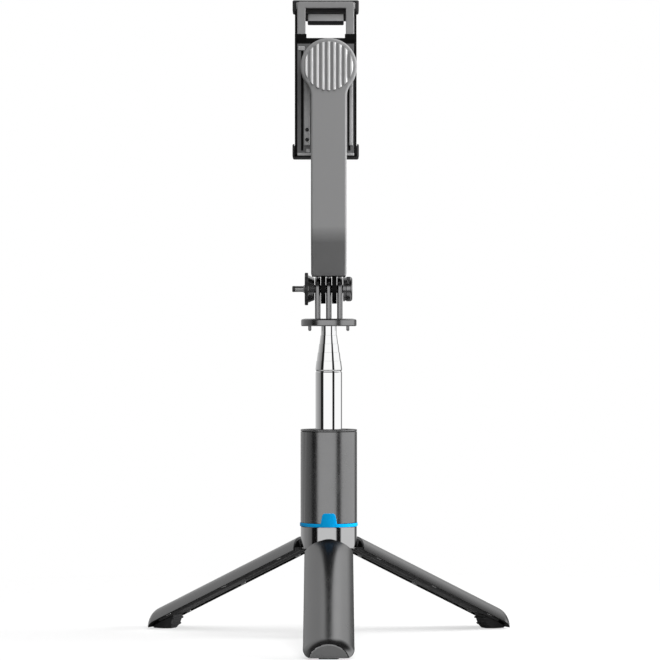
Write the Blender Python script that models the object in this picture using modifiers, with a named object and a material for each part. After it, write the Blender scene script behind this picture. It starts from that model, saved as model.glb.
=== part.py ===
"""Selfie stick whose handle splits into three folding legs, with a telescopic pole and a phone clamp."""

import math

import bmesh
import bpy
from mathutils import Matrix

# Clearances
GAP = 0.0003
RUN = 0.0002
OVERLAP = 0.001
REACH = 0.06

# Handle tube, blue ring and cap
HANDLE_RADIUS = 0.0165
HANDLE_WALL = 0.0016
HANDLE_LENGTH = 0.0528
HANDLE_EDGE = 0.0005
RING_HEIGHT = 0.002
RING_PROUD = 0.0004
TAB_BASE = 0.0102
TAB_TOP = 0.0082
TAB_HEIGHT = 0.0062
TAB_CORNER = 0.002
CAP_FLANGE = 0.001
CAP_SPIGOT = 0.008

# Tripod hub
HUB_INSET = 0.0001
HUB_ABOVE = 0.0083
HUB_BELOW = 0.00415
HUB_CHAMFER = 0.0012
HUB_SPIGOT = 0.009

# Legs
LEG_NAMES = ("front", "right", "left")
LEG_FIRST_AZIMUTH = math.radians(-90)
LEG_SPLAY = math.radians(25.3)
LEG_LENGTH = 0.122
LEG_TIP_HEIGHT = 0.0042
LEG_PIVOT_RADIUS = 0.0117
LEG_TOP = 0.0059
LEG_WALL = 0.0015
LEG_HALF_ANGLE = math.radians(57.75)
LEG_NOSE = 0.0095
LEG_FLAT = 0.00825
LEG_TRIM = 0.0006
LINER_THICKNESS = 0.0021
LINER_TOP = 0.0066
LINER_END = 0.115
KNUCKLE_RADIUS = 0.0026
KNUCKLE_WIDTH = 0.0074
TONGUE_LENGTH = 0.016
PIN_RADIUS = 0.0011
PIN_LENGTH = 0.0148
FOOT_WIDTH = 0.012
FOOT_HEEL = 0.0156
FOOT_CONTACT = 0.0125
FOOT_TOE = 0.003
FOOT_EDGE = 0.0005
FOOT_PART = 0.0004

# Telescopic pole
POLE_SECTIONS = 5
POLE_RADIUS = 0.00775
POLE_WALL = 0.0005
POLE_LENGTH = 0.086
POLE_FOOT_STEP = 0.0015
POLE_SHOWN_FIRST = 0.0399
POLE_SHOWN_NEXT = 0.005
SWAGE_LENGTH = 0.0024
SWAGE_LIP = 0.0003
FLARE_LENGTH = 0.003
GROOVE_DROP = 0.0052
GROOVE_WIDTH = 0.002
GROOVE_DEPTH = 0.0002
BASE_WALL = 0.0006
BASE_DROP = 0.0463
PLUG_FLANGE = 0.0015
PLUG_SPIGOT = 0.0045
PLUG_ROOM = 0.004

# Head with its prongs, pegs, nut and thumbscrew
DISC_RADIUS = 0.0162
DISC_THICKNESS = 0.0044
DISC_EDGE = 0.0007
SOCKET_DEPTH = 0.0026
PEG_RADIUS = 0.00095
PEG_LENGTH = 0.0028
PEG_SPREAD = 0.0111
PRONG_THICKNESS = 0.0032
PRONG_PITCH = 0.00645
PRONG_RADIUS = 0.0075
TILT_RISE = 0.0173
BOLT_RADIUS = 0.0023
NUT_ACROSS = 0.008
NUT_HEIGHT = 0.0038
NUT_CAP_RADIUS = 0.0072
NUT_CAP_WALL = 0.0013
NUT_CAP_ROUND = 0.0015
KNOB_RADIUS = 0.0095
KNOB_LOBES = 8
KNOB_LOBE_DEPTH = 0.0009
KNOB_THICKNESS = 0.002
KNOB_HUB_RADIUS = 0.0079
KNOB_HUB_TAPER = 0.0014
KNOB_HUB_LENGTH = 0.0037
KNOB_BORE_DEPTH = 0.0025
POST_RADIUS = 0.00175
POST_LENGTH = 0.0073
POST_FLARE = 0.0012

# Arm
ARM_WIDTH = 0.0206
ARM_THICKNESS = 0.01
ARM_SETBACK = 0.028
ARM_CORNER_RISE = 0.0304
ARM_SLANT = math.radians(39.7)
ARM_ROOT = 0.0107
ARM_BEND = 0.015
ARM_RISE = 0.1278
ARM_EDGE = 0.0008
REAR_THICKNESS = 0.007
FINGER_THICKNESS = 0.0028
FINGER_RADIUS = 0.0086
FINGER_SEAT = 0.0035
HEAD_RADIUS = 0.0162
HEAD_BOSS = 0.003
HEAD_BOSS_STEP = 0.0008
HEAD_WALL = 0.0012
HEAD_CAVITY_RADIUS = 0.0125
NECK_FILLET = 0.012
CAP_RADIUS = 0.0137
CAP_RECESS = 0.0011
CAP_BASE = 0.0007
RIB_COUNT = 9
RIB_PITCH = 0.0031
RIB_RADIUS = 0.0011

# Swivel between arm and clamp
SHAFT_RADIUS = 0.003
SHAFT_HEAD_RADIUS = 0.005
SHAFT_HEAD = 0.0028
RING_THICKNESS = 0.0011
RING_RADIUS = 0.0105
WASHER_RADIUS = 0.007
WASHER_THICKNESS = 0.0008
SWIVEL_NUT_ACROSS = 0.0085
SWIVEL_NUT_HEIGHT = 0.003

# Clamp housing
CLAMP_WIDTH = 0.0358
CLAMP_SHIFT = -0.0018
CLAMP_DEPTH = 0.0078
CLAMP_ABOVE = 0.0176
CLAMP_BELOW = 0.0508
CLAMP_EDGE = 0.0008
BACK_WALL = 0.0015
COLLAR_RISE = 0.0023
CHANNEL_FLOOR = 0.0016
FRONT_PLATE = 0.0013
FRONT_MARGIN = 0.0006
RAIL_CENTRE = 0.0132
RAIL_WIDTH = 0.0036
RAIL_HEIGHT = 0.0009
RAIL_MARGIN = 0.006
REST_PAD = 0.001
REST_PAD_WIDTH = 0.026
REST_PAD_MARGIN = 0.008
SHELF = 0.0038
PHONE_DEPTH = 0.0095
LIP = 0.0035
LIP_WIDTH = 0.0212
LIP_HEIGHT = 0.0062
PAD_SHEET = 0.0013
PAD_SKIN = 0.001
PAD_OVERHANG = 0.0014
PAD_EAR_RISE = 0.0016
PAD_EDGE = 0.0008

# Upper jaw
GRIP = 0.0788
FRAME_WIDTH = 0.033
FRAME_LEG = 0.0048
FRAME_THICKNESS = 0.0034
FRAME_CORNER = 0.0015
FRAME_LENGTH = 0.0721
LEAF_THICKNESS = 0.0004
LEAF_LENGTH = 0.024
LEAF_WIDTH = 0.0036
LEAF_DROP = 0.023

# Shutter remote
REMOTE_WIDTH = 0.014
REMOTE_HEIGHT = 0.028
REMOTE_PROUD = 0.0005
REMOTE_BACK = 0.0108
DOCK_WALL = 0.0012
BUTTON_RADIUS = 0.0043
BUTTON_RISE = 0.006
BUTTON_PROUD = 0.0006
BUTTON_TRAVEL = 0.0006
BUTTON_DEPTH = 0.0021

# Facets
ROUND = 40
TUBE = 32
SMALL = 16
ARC = 10

# Heights along the pole axis, from the floor up
LEG_FOLD = math.pi / 2 - LEG_SPLAY
PIVOT_Z = LEG_LENGTH * math.sin(LEG_SPLAY) + LEG_TIP_HEIGHT
LEG_REACH = LEG_LENGTH * math.cos(LEG_SPLAY) + LEG_PIVOT_RADIUS
HUB_BOTTOM = PIVOT_Z - HUB_BELOW
HUB_TOP = PIVOT_Z + HUB_ABOVE
RING_BOTTOM = HUB_TOP + GAP
RING_TOP = RING_BOTTOM + RING_HEIGHT
TUBE_BOTTOM = RING_TOP + GAP
TUBE_TOP = TUBE_BOTTOM + HANDLE_LENGTH
CAP_TOP = TUBE_TOP + GAP + CAP_FLANGE
TUBE_BORE = HANDLE_RADIUS - HANDLE_WALL
SPIGOT_RADIUS = TUBE_BORE - GAP
BASE_BORE = POLE_RADIUS + GAP
BASE_RADIUS = BASE_BORE + BASE_WALL
BASE_BOTTOM = PIVOT_Z - BASE_DROP
BASE_TOP = CAP_TOP - PEG_LENGTH - 2 * GAP
POLE_STEP = POLE_WALL + GAP
DISC_BOTTOM = CAP_TOP + POLE_SHOWN_FIRST + (POLE_SECTIONS - 1) * POLE_SHOWN_NEXT + GAP
DISC_TOP = DISC_BOTTOM + DISC_THICKNESS
TILT_Z = DISC_TOP + TILT_RISE
PRONG_SIDE = PRONG_PITCH + PRONG_THICKNESS / 2

# Depths across the arm and the clamp, from the back to the phone's side
ARM_BACK = -ARM_SETBACK
ARM_FRONT = ARM_BACK + ARM_THICKNESS
BOSS_FRONT = ARM_FRONT + HEAD_BOSS
CAVITY_BACK = ARM_BACK + CAP_RECESS + HEAD_WALL
LID_BACK = ARM_BACK + REAR_THICKNESS + GAP
BODY_BACK = BOSS_FRONT + RING_THICKNESS + 2 * GAP
BODY_FRONT = BODY_BACK + CLAMP_DEPTH
PLATE_BACK = BODY_FRONT + GAP
PLATE_FRONT = PLATE_BACK + FRONT_PLATE
PHONE_BACK = PLATE_FRONT + GAP + REST_PAD
LIP_BACK = PHONE_BACK + PHONE_DEPTH
JAW_FRONT = LIP_BACK + LIP
FRAME_BACK = BODY_BACK + BACK_WALL + GAP
FRAME_FRONT = FRAME_BACK + FRAME_THICKNESS

# Heights on the clamp, from the swivel axis
LOWER_SHELF_TOP = SHELF - CLAMP_BELOW
LOWER_GRIP = LOWER_SHELF_TOP + GAP + PAD_SHEET
UPPER_GRIP = LOWER_GRIP + GRIP
UPPER_SHELF = UPPER_GRIP + PAD_SHEET + GAP
FRAME_TOP = UPPER_SHELF + SHELF
PAD_HALF = CLAMP_WIDTH / 2 + PAD_OVERHANG
SHELF_HALF = CLAMP_WIDTH / 2 - CLAMP_EDGE
FRAME_HALF = FRAME_WIDTH / 2
WINDOW_HALF = FRAME_HALF - FRAME_LEG

# Remote's height
REMOTE_Z = (TUBE_BOTTOM + HUB_SPIGOT + TUBE_TOP - CAP_SPIGOT) / 2


def new_collection(name):
    made = bpy.data.collections.new(name)
    bpy.context.scene.collection.children.link(made)
    return made


def new_material(name, colour, roughness, metallic):
    made = bpy.data.materials.new(name)
    made.use_nodes = True
    shader = made.node_tree.nodes["Principled BSDF"]
    shader.inputs["Base Color"].default_value = (*colour, 1)
    shader.inputs["Roughness"].default_value = roughness
    shader.inputs["Metallic"].default_value = metallic
    return made


def add_object(name, data):
    """A new piece, kept with the cutters until it is made a part."""
    made = bpy.data.objects.new(name, data)
    cutters.objects.link(made)
    made.hide_render = True
    made.display_type = "WIRE"
    return made


def as_part(obj, material, parent=None, place=(0, 0, 0)):
    """Moves a finished piece to the parts, under its joint's empty."""
    cutters.objects.unlink(obj)
    parts.objects.link(obj)
    obj.hide_render = False
    obj.display_type = "TEXTURED"
    obj.data.materials.append(material)
    obj.data.shade_smooth()
    obj.data.set_sharp_from_angle(angle=math.radians(35))
    obj.parent = parent
    obj.location = place
    return obj


def pivot(name, place, rotation=(0, 0, 0), parent=None):
    made = bpy.data.objects.new(name, None)
    parts.objects.link(made)
    made.location = place
    made.rotation_euler = rotation
    made.parent = parent
    return made


def mesh_object(name, shape):
    mesh = bpy.data.meshes.new(name)
    bmesh.ops.recalc_face_normals(shape, faces=shape.faces)
    shape.to_mesh(mesh)
    shape.free()
    return add_object(name, mesh)


def box(name, low, high, edge=0.0):
    """A block between two corners, with rounded edges if asked."""
    shape = bmesh.new()
    bmesh.ops.create_cube(shape, size=1)
    for vert in shape.verts:
        vert.co = [a + (b - a) * (c + 0.5) for a, b, c in zip(low, high, vert.co)]
    made = mesh_object(name, shape)
    if edge:
        round_edges(made, edge)
    return made


def round_edges(obj, width):
    bevel = obj.modifiers.new("edges", "BEVEL")
    bevel.width = width
    bevel.segments = 2
    bevel.limit_method = "ANGLE"
    bevel.angle_limit = math.radians(50)


def turned(name, profile, steps=ROUND, closed=True):
    """A profile of (radius, height) points, turned about the Z axis."""
    shape = bmesh.new()
    verts = [shape.verts.new((radius, 0, height)) for radius, height in profile]
    pairs = list(zip(verts, verts[1:]))
    if closed:
        pairs.append((verts[-1], verts[0]))
    for pair in pairs:
        shape.edges.new(pair)
    mesh = bpy.data.meshes.new(name)
    shape.to_mesh(mesh)
    shape.free()
    made = add_object(name, mesh)
    screw = made.modifiers.new("turn", "SCREW")
    screw.steps = steps
    screw.render_steps = steps
    screw.use_merge_vertices = True
    screw.merge_threshold = 0.00001
    screw.use_smooth_shade = True
    return made


def rod(name, radius, start, end, steps=SMALL):
    return turned(name, [(0, end), (radius, end), (radius, start), (0, start)], steps, closed=False)


def arc(centre, radius, start, end, steps=ARC):
    """Points on a circle from one angle to another, both included."""
    angles = [start + (end - start) * i / steps for i in range(steps + 1)]
    return [(centre[0] + radius * math.cos(a), centre[1] + radius * math.sin(a)) for a in angles]


def circle(centre, radius, steps=SMALL):
    return arc(centre, radius, 0, 2 * math.pi, steps)[:-1]


def plate(name, outlines, thickness):
    """Flat outlines, the later ones holes, filled and given a thickness about the XY plane."""
    flat = bpy.data.curves.new(name, "CURVE")
    flat.dimensions = "2D"
    flat.fill_mode = "BOTH"
    flat.extrude = thickness / 2
    for outline in outlines:
        spline = flat.splines.new("POLY")
        spline.points.add(len(outline) - 1)
        for point, (x, y) in zip(spline.points, outline):
            point.co = (x, y, 0, 1)
        spline.use_cyclic_u = True
    guide = add_object(name + "_outline", flat)
    graph = bpy.context.evaluated_depsgraph_get()
    mesh = bpy.data.meshes.new_from_object(guide.evaluated_get(graph))
    shape = bmesh.new()
    shape.from_mesh(mesh)
    bmesh.ops.remove_doubles(shape, verts=shape.verts, dist=0.000001)
    bpy.data.objects.remove(guide)
    return mesh_object(name, shape)


def facing_x(obj):
    """Turns a plate so that its outline lies in Y and Z."""
    obj.rotation_euler = (math.pi / 2, 0, math.pi / 2)
    return obj


def facing_y(obj):
    """Turns a plate so that its outline lies in X and Z."""
    obj.rotation_euler = (math.pi / 2, 0, 0)
    return obj


def along_y(obj):
    """Turns a turned piece so that its height runs along Y."""
    obj.rotation_euler = (-math.pi / 2, 0, 0)
    return obj


def combine(obj, other, operation):
    modifier = obj.modifiers.new(operation.lower(), "BOOLEAN")
    modifier.operation = operation
    modifier.object = other


def cut(obj, *others):
    for other in others:
        combine(obj, other, "DIFFERENCE")


def join(obj, *others):
    for other in others:
        combine(obj, other, "UNION")


def at(obj, parent, place=(0, 0, 0)):
    """Puts a cutter under the same empty as the piece that it cuts."""
    obj.parent = parent
    obj.location = place
    return obj


def ring(outer, inner, bottom, top, edge=0.0):
    """A tube's section, with broken outer edges."""
    return [
        (outer - edge, top),
        (outer, top - edge),
        (outer, bottom + edge),
        (outer - edge, bottom),
        (inner, bottom),
        (inner, top),
    ]


def leg_azimuths():
    turn = 2 * math.pi / len(LEG_NAMES)
    return [LEG_FIRST_AZIMUTH + turn * i for i in range(len(LEG_NAMES))]


def tab_block(azimuth, grow):
    """A trapezoid block through the handle's wall, over one leg."""
    low = RING_BOTTOM + RING_HEIGHT / 2
    top = RING_TOP + TAB_HEIGHT + grow
    base = TAB_BASE / 2 + grow
    head = TAB_TOP / 2 + grow
    corner = TAB_CORNER
    outline = [(base, low)]
    outline += arc((head - corner, top - corner), corner, 0, math.pi / 2, 3)
    outline += arc((corner - head, top - corner), corner, math.pi / 2, math.pi, 3)
    outline.append((-base, low))
    block = plate("tab_block", [outline], HANDLE_RADIUS)
    block.rotation_euler = (math.pi / 2, 0, azimuth + math.pi / 2)
    block.location = (HANDLE_RADIUS * math.cos(azimuth), HANDLE_RADIUS * math.sin(azimuth), 0)
    return block


def stadium(width, height):
    """A long hole's outline, upright and centred."""
    radius = width / 2
    rise = height / 2 - radius
    return arc((0, rise), radius, 0, math.pi) + arc((0, -rise), radius, math.pi, 2 * math.pi)


def remote_block(name, width, height, back):
    """An upright stadium that runs from a depth in the handle out past its wall."""
    length = HANDLE_RADIUS * 2 - back
    block = facing_y(plate(name, [stadium(width, height)], length))
    block.location = (0, back + length / 2, REMOTE_Z)
    return block


def make_handle():
    tube = turned("handle_tube", ring(HANDLE_RADIUS, TUBE_BORE, TUBE_BOTTOM, TUBE_TOP, HANDLE_EDGE))
    for azimuth in leg_azimuths():
        cut(tube, tab_block(azimuth, GAP))
    cut(tube, remote_block("window", REMOTE_WIDTH + 2 * GAP, REMOTE_HEIGHT + 2 * GAP, REMOTE_BACK))
    as_part(tube, gloss_black)

    accent = turned(
        "accent_ring",
        ring(HANDLE_RADIUS + RING_PROUD, TUBE_BORE, RING_BOTTOM, RING_TOP + 2 * TAB_HEIGHT),
    )
    keep = rod("accent_keep", HANDLE_RADIUS * 2, RING_BOTTOM - RING_HEIGHT, RING_TOP)
    join(keep, *[tab_block(azimuth, 0) for azimuth in leg_azimuths()])
    combine(accent, keep, "INTERSECT")
    as_part(accent, blue_plastic)

    groove_in = PEG_SPREAD - PEG_RADIUS - GAP
    groove_out = PEG_SPREAD + PEG_RADIUS + GAP
    groove_floor = CAP_TOP - PEG_LENGTH - GAP
    cap = turned(
        "top_cap",
        [
            (HANDLE_RADIUS - HANDLE_EDGE, CAP_TOP),
            (HANDLE_RADIUS, CAP_TOP - HANDLE_EDGE),
            (HANDLE_RADIUS, TUBE_TOP + GAP),
            (SPIGOT_RADIUS, TUBE_TOP + GAP),
            (SPIGOT_RADIUS, TUBE_TOP - CAP_SPIGOT),
            (BASE_RADIUS + GAP, TUBE_TOP - CAP_SPIGOT),
            (BASE_RADIUS + GAP, BASE_TOP + GAP),
            (POLE_RADIUS + RUN, BASE_TOP + GAP),
            (POLE_RADIUS + RUN, CAP_TOP),
            (groove_in, CAP_TOP),
            (groove_in, groove_floor),
            (groove_out, groove_floor),
            (groove_out, CAP_TOP),
        ],
    )
    as_part(cap, satin_black)

    as_part(turned("base_tube", ring(BASE_RADIUS, BASE_BORE, BASE_BOTTOM, BASE_TOP), TUBE), chrome)
    plug = turned(
        "base_plug",
        [
            (0, BASE_BOTTOM + PLUG_SPIGOT),
            (BASE_BORE - GAP, BASE_BOTTOM + PLUG_SPIGOT),
            (BASE_BORE - GAP, BASE_BOTTOM - GAP),
            (BASE_RADIUS, BASE_BOTTOM - GAP),
            (BASE_RADIUS, BASE_BOTTOM - GAP - PLUG_FLANGE),
            (0, BASE_BOTTOM - GAP - PLUG_FLANGE),
        ],
        TUBE,
        closed=False,
    )
    as_part(plug, satin_black)


def lateral(obj, azimuth):
    """Turns a turned piece, or a plate's thickness, across one leg."""
    obj.rotation_euler = (math.pi / 2, 0, azimuth)
    return obj


def make_hub():
    """The collar, with a clevis slot and a pin hole for each leg."""
    collar = HANDLE_RADIUS - HUB_INSET
    hub = turned(
        "tripod_hub",
        [
            (SPIGOT_RADIUS, TUBE_BOTTOM + HUB_SPIGOT),
            (SPIGOT_RADIUS, HUB_TOP),
            (collar, HUB_TOP),
            (collar, HUB_BOTTOM + HUB_CHAMFER),
            (collar - HUB_CHAMFER, HUB_BOTTOM),
            (BASE_RADIUS + GAP, HUB_BOTTOM),
            (BASE_RADIUS + GAP, TUBE_BOTTOM + HUB_SPIGOT),
        ],
    )
    eye = KNUCKLE_RADIUS + GAP
    eye_arc = arc((LEG_PIVOT_RADIUS, 0), eye, LEG_FOLD, math.pi)
    far = eye_arc[0][0] + REACH * math.cos(LEG_SPLAY)
    outline = [(far, -REACH), (far, eye_arc[0][1] - REACH * math.sin(LEG_SPLAY)), *eye_arc]
    outline.append((LEG_PIVOT_RADIUS - eye, -REACH))
    for name, azimuth in zip(LEG_NAMES, leg_azimuths()):
        slot = lateral(plate("slot", [outline], KNUCKLE_WIDTH + 2 * GAP), azimuth)
        slot.location = (0, 0, PIVOT_Z)
        where = (LEG_PIVOT_RADIUS * math.cos(azimuth), LEG_PIVOT_RADIUS * math.sin(azimuth), PIVOT_Z)
        half = PIN_LENGTH / 2
        hole = lateral(rod("pin_hole", PIN_RADIUS + RUN, -half - GAP, half + GAP), azimuth)
        hole.location = where
        cut(hub, slot, hole)
        pin = lateral(rod("leg_pin_" + name, PIN_RADIUS, -half, half), azimuth)
        as_part(pin, steel, place=where)
    as_part(hub, dark_chrome)


def leg_point(reach, height):
    """A point of the open leg, in its folded frame about the pivot: (out, up)."""
    out = reach - LEG_PIVOT_RADIUS
    up = height - PIVOT_Z
    across = out * math.sin(LEG_SPLAY) + up * math.cos(LEG_SPLAY)
    along = out * math.cos(LEG_SPLAY) - up * math.sin(LEG_SPLAY)
    return across, -along


def make_leg_shell(name):
    """A third of the handle's lower wall, spun about the pole's axis, with a round nose that ends upright."""
    inner = HANDLE_RADIUS - LEG_WALL
    centre_reach = LEG_REACH - LEG_NOSE
    drop = (centre_reach - LEG_PIVOT_RADIUS) * math.sin(LEG_SPLAY) + LEG_PIVOT_RADIUS + LEG_NOSE - HANDLE_RADIUS
    nose = (centre_reach, PIVOT_Z - drop / math.cos(LEG_SPLAY))
    end = arc(nose, LEG_NOSE, LEG_FOLD, 0, 6)
    end += [(LEG_REACH, -OVERLAP), (LEG_REACH - LEG_WALL, -OVERLAP)]
    end += arc(nose, LEG_NOSE - LEG_WALL, 0, LEG_FOLD, 6)
    profile = [(HANDLE_RADIUS, -LEG_TOP)]
    for point in end:
        across, up = leg_point(*point)
        profile.append((across + LEG_PIVOT_RADIUS, up))
    profile.append((inner, -LEG_TOP))
    shape = bmesh.new()
    face = shape.faces.new([shape.verts.new((radius, 0, height)) for radius, height in profile])
    spun = [face, *face.verts, *face.edges]
    axis = (0, 0, 1)
    start = Matrix.Rotation(-LEG_HALF_ANGLE, 3, "Z")
    bmesh.ops.rotate(shape, verts=shape.verts, cent=(0, 0, 0), matrix=start)
    bmesh.ops.spin(shape, geom=spun, cent=(0, 0, 0), axis=axis, angle=2 * LEG_HALF_ANGLE, steps=12)
    bmesh.ops.translate(shape, verts=shape.verts, vec=(-LEG_PIVOT_RADIUS, 0, 0))
    return mesh_object(name, shape)


def make_leg_liner(name, hinge):
    """The flat inner plate, hollowed for the pole, with its hinge knuckle."""
    rim = HANDLE_RADIUS - LEG_WALL - GAP
    inside = LEG_FLAT + LINER_THICKNESS
    wide = math.sqrt(rim**2 - LEG_FLAT**2)
    narrow = math.sqrt(rim**2 - inside**2)
    section = [(LEG_FLAT, -wide), (LEG_FLAT, wide), (inside, narrow), (inside, -narrow)]
    liner = plate(name, [section], LINER_END - LINER_TOP)
    middle = (LINER_END + LINER_TOP) / 2
    for vert in liner.data.vertices:
        vert.co.x -= LEG_PIVOT_RADIUS
        vert.co.z -= middle
    tongue_outline = [(-KNUCKLE_RADIUS, -TONGUE_LENGTH), (KNUCKLE_RADIUS, -TONGUE_LENGTH)]
    tongue_outline += arc((0, 0), KNUCKLE_RADIUS, 0, math.pi)
    tongue = plate("tongue", [tongue_outline, circle((0, 0), PIN_RADIUS + RUN)], KNUCKLE_WIDTH)
    bed = rod("pole_bed", BASE_RADIUS + GAP, -BASE_DROP - PLUG_FLANGE - PLUG_ROOM, REACH, TUBE)
    join(liner, at(facing_y(tongue), hinge))
    cut(liner, at(bed, hinge, (-LEG_PIVOT_RADIUS, 0, 0)))
    return liner


def make_leg_foot(name, hinge):
    """A rubber wedge between the liner's flat and the floor, narrow where the folded feet meet."""
    slope = math.tan(LEG_SPLAY)
    flat_drop = (LEG_PIVOT_RADIUS - LEG_FLAT + GAP) / math.cos(LEG_SPLAY)
    toe_reach = LEG_REACH - FOOT_TOE

    def flat_height(reach):
        return PIVOT_Z - flat_drop - (reach - LEG_PIVOT_RADIUS) * slope

    back = toe_reach - FOOT_HEEL
    section = [
        leg_point(toe_reach - FOOT_CONTACT, 0),
        leg_point(toe_reach - FOOT_EDGE, 0),
        leg_point(toe_reach, FOOT_EDGE),
        leg_point(toe_reach, flat_height(toe_reach)),
        leg_point(back, flat_height(back)),
    ]
    foot = facing_y(plate(name, [section], FOOT_WIDTH))
    side = REACH * math.tan(math.pi / len(LEG_NAMES))
    third = plate("foot_third", [[(0, 0), (REACH, -side), (REACH, side)]], 4 * LEG_LENGTH)
    combine(foot, at(third, hinge, (FOOT_PART - LEG_PIVOT_RADIUS, 0, 0)), "INTERSECT")
    return foot


def make_legs():
    floor_trim = box("floor_trim", (-1, -1, -1), (1, 1, LEG_TRIM))
    for name, azimuth in zip(LEG_NAMES, leg_azimuths()):
        where = (LEG_PIVOT_RADIUS * math.cos(azimuth), LEG_PIVOT_RADIUS * math.sin(azimuth), PIVOT_Z)
        hinge = pivot("leg_pivot_" + name, where, (0, -LEG_FOLD, azimuth))
        shell = make_leg_shell("leg_shell_" + name)
        chord = box("chord", (-REACH, -REACH, -1), (LEG_FLAT - LEG_PIVOT_RADIUS + GAP, REACH, 1))
        cut(shell, at(chord, hinge), floor_trim)
        as_part(shell, gloss_black, hinge)
        liner = make_leg_liner("leg_liner_" + name, hinge)
        cut(liner, floor_trim)
        as_part(liner, satin_black, hinge)
        as_part(make_leg_foot("leg_foot_" + name, hinge), rubber, hinge)


def make_pole():
    """Nested tubes: each is drawn in at its rim and flared at its foot."""
    first_top = CAP_TOP + POLE_SHOWN_FIRST
    flare = GAP / 2
    for i in range(POLE_SECTIONS):
        radius = POLE_RADIUS - i * POLE_STEP
        bore = radius - POLE_WALL
        bottom = first_top - POLE_LENGTH + i * POLE_FOOT_STEP
        top = first_top + i * POLE_SHOWN_NEXT
        neck = top - SWAGE_LENGTH
        rim = [(radius - SWAGE_LIP, top), (radius, neck)]
        lip = [(bore, neck), (bore - flare, top)]
        if i == POLE_SECTIONS - 1:
            top = DISC_BOTTOM + SOCKET_DEPTH - GAP
            rim = [(radius, top)]
            lip = [(bore, top)]
        if i == 0:
            groove = top - GROOVE_DROP
            rim += [
                (radius, groove + GROOVE_WIDTH / 2 + GROOVE_DEPTH),
                (radius - GROOVE_DEPTH, groove + GROOVE_WIDTH / 2),
                (radius - GROOVE_DEPTH, groove - GROOVE_WIDTH / 2),
                (radius, groove - GROOVE_WIDTH / 2 - GROOVE_DEPTH),
            ]
        foot = [
            (radius, bottom + FLARE_LENGTH),
            (radius + flare, bottom + FLARE_LENGTH - flare),
            (radius + flare, bottom),
            (bore, bottom),
        ]
        as_part(turned(f"pole_section_{i + 1}", rim + foot + lip, TUBE), chrome)


def make_head():
    """The disc with its socket, prongs and pegs, and the captive nut under its cap."""
    pan = pivot("head_pan", (0, 0, 0))
    socket = POLE_RADIUS - (POLE_SECTIONS - 1) * POLE_STEP + RUN
    head = turned(
        "head_mount",
        [
            (0, DISC_TOP),
            (DISC_RADIUS - DISC_EDGE, DISC_TOP),
            (DISC_RADIUS, DISC_TOP - DISC_EDGE),
            (DISC_RADIUS, DISC_BOTTOM + DISC_EDGE),
            (DISC_RADIUS - DISC_EDGE, DISC_BOTTOM),
            (socket, DISC_BOTTOM),
            (socket, DISC_BOTTOM + SOCKET_DEPTH),
            (0, DISC_BOTTOM + SOCKET_DEPTH),
        ],
        closed=False,
    )
    outline = [(-PRONG_RADIUS, DISC_TOP - OVERLAP), (PRONG_RADIUS, DISC_TOP - OVERLAP)]
    outline += arc((0, TILT_Z), PRONG_RADIUS, 0, math.pi, 2 * ARC)
    hole = circle((0, TILT_Z), BOLT_RADIUS + RUN)
    for side in (-1, 0, 1):
        prong = facing_x(plate("prong", [outline, hole], PRONG_THICKNESS))
        join(head, at(prong, pan, (side * PRONG_PITCH, 0, 0)))
    for side in (-1, 1):
        peg = rod("peg", PEG_RADIUS, DISC_BOTTOM - PEG_LENGTH, DISC_BOTTOM + OVERLAP)
        join(head, at(peg, pan, (side * PEG_SPREAD, 0, 0)))
    as_part(head, gloss_black, pan)

    nut_start = PRONG_SIDE + GAP
    nut_end = nut_start + NUT_HEIGHT
    hexagon = circle((0, 0), NUT_ACROSS / math.sqrt(3), 6)
    nut = facing_x(plate("lock_nut", [hexagon, circle((0, 0), BOLT_RADIUS + RUN)], NUT_HEIGHT))
    as_part(nut, steel, pan, ((nut_start + nut_end) / 2, 0, TILT_Z))
    well = NUT_ACROSS / math.sqrt(3) + GAP
    cap_end = nut_end + GAP + NUT_CAP_WALL
    rounding = arc((NUT_CAP_RADIUS - NUT_CAP_ROUND, cap_end - NUT_CAP_ROUND), NUT_CAP_ROUND, math.pi / 2, 0, 4)
    profile = [(0, cap_end), *rounding, (NUT_CAP_RADIUS, nut_start), (well, nut_start)]
    profile += [(well, nut_end + GAP), (0, nut_end + GAP)]
    cap = turned("nut_cap", profile, TUBE, closed=False)
    cap.rotation_euler = (0, math.pi / 2, 0)
    as_part(cap, satin_black, pan, (0, 0, TILT_Z))
    return pan


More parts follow.
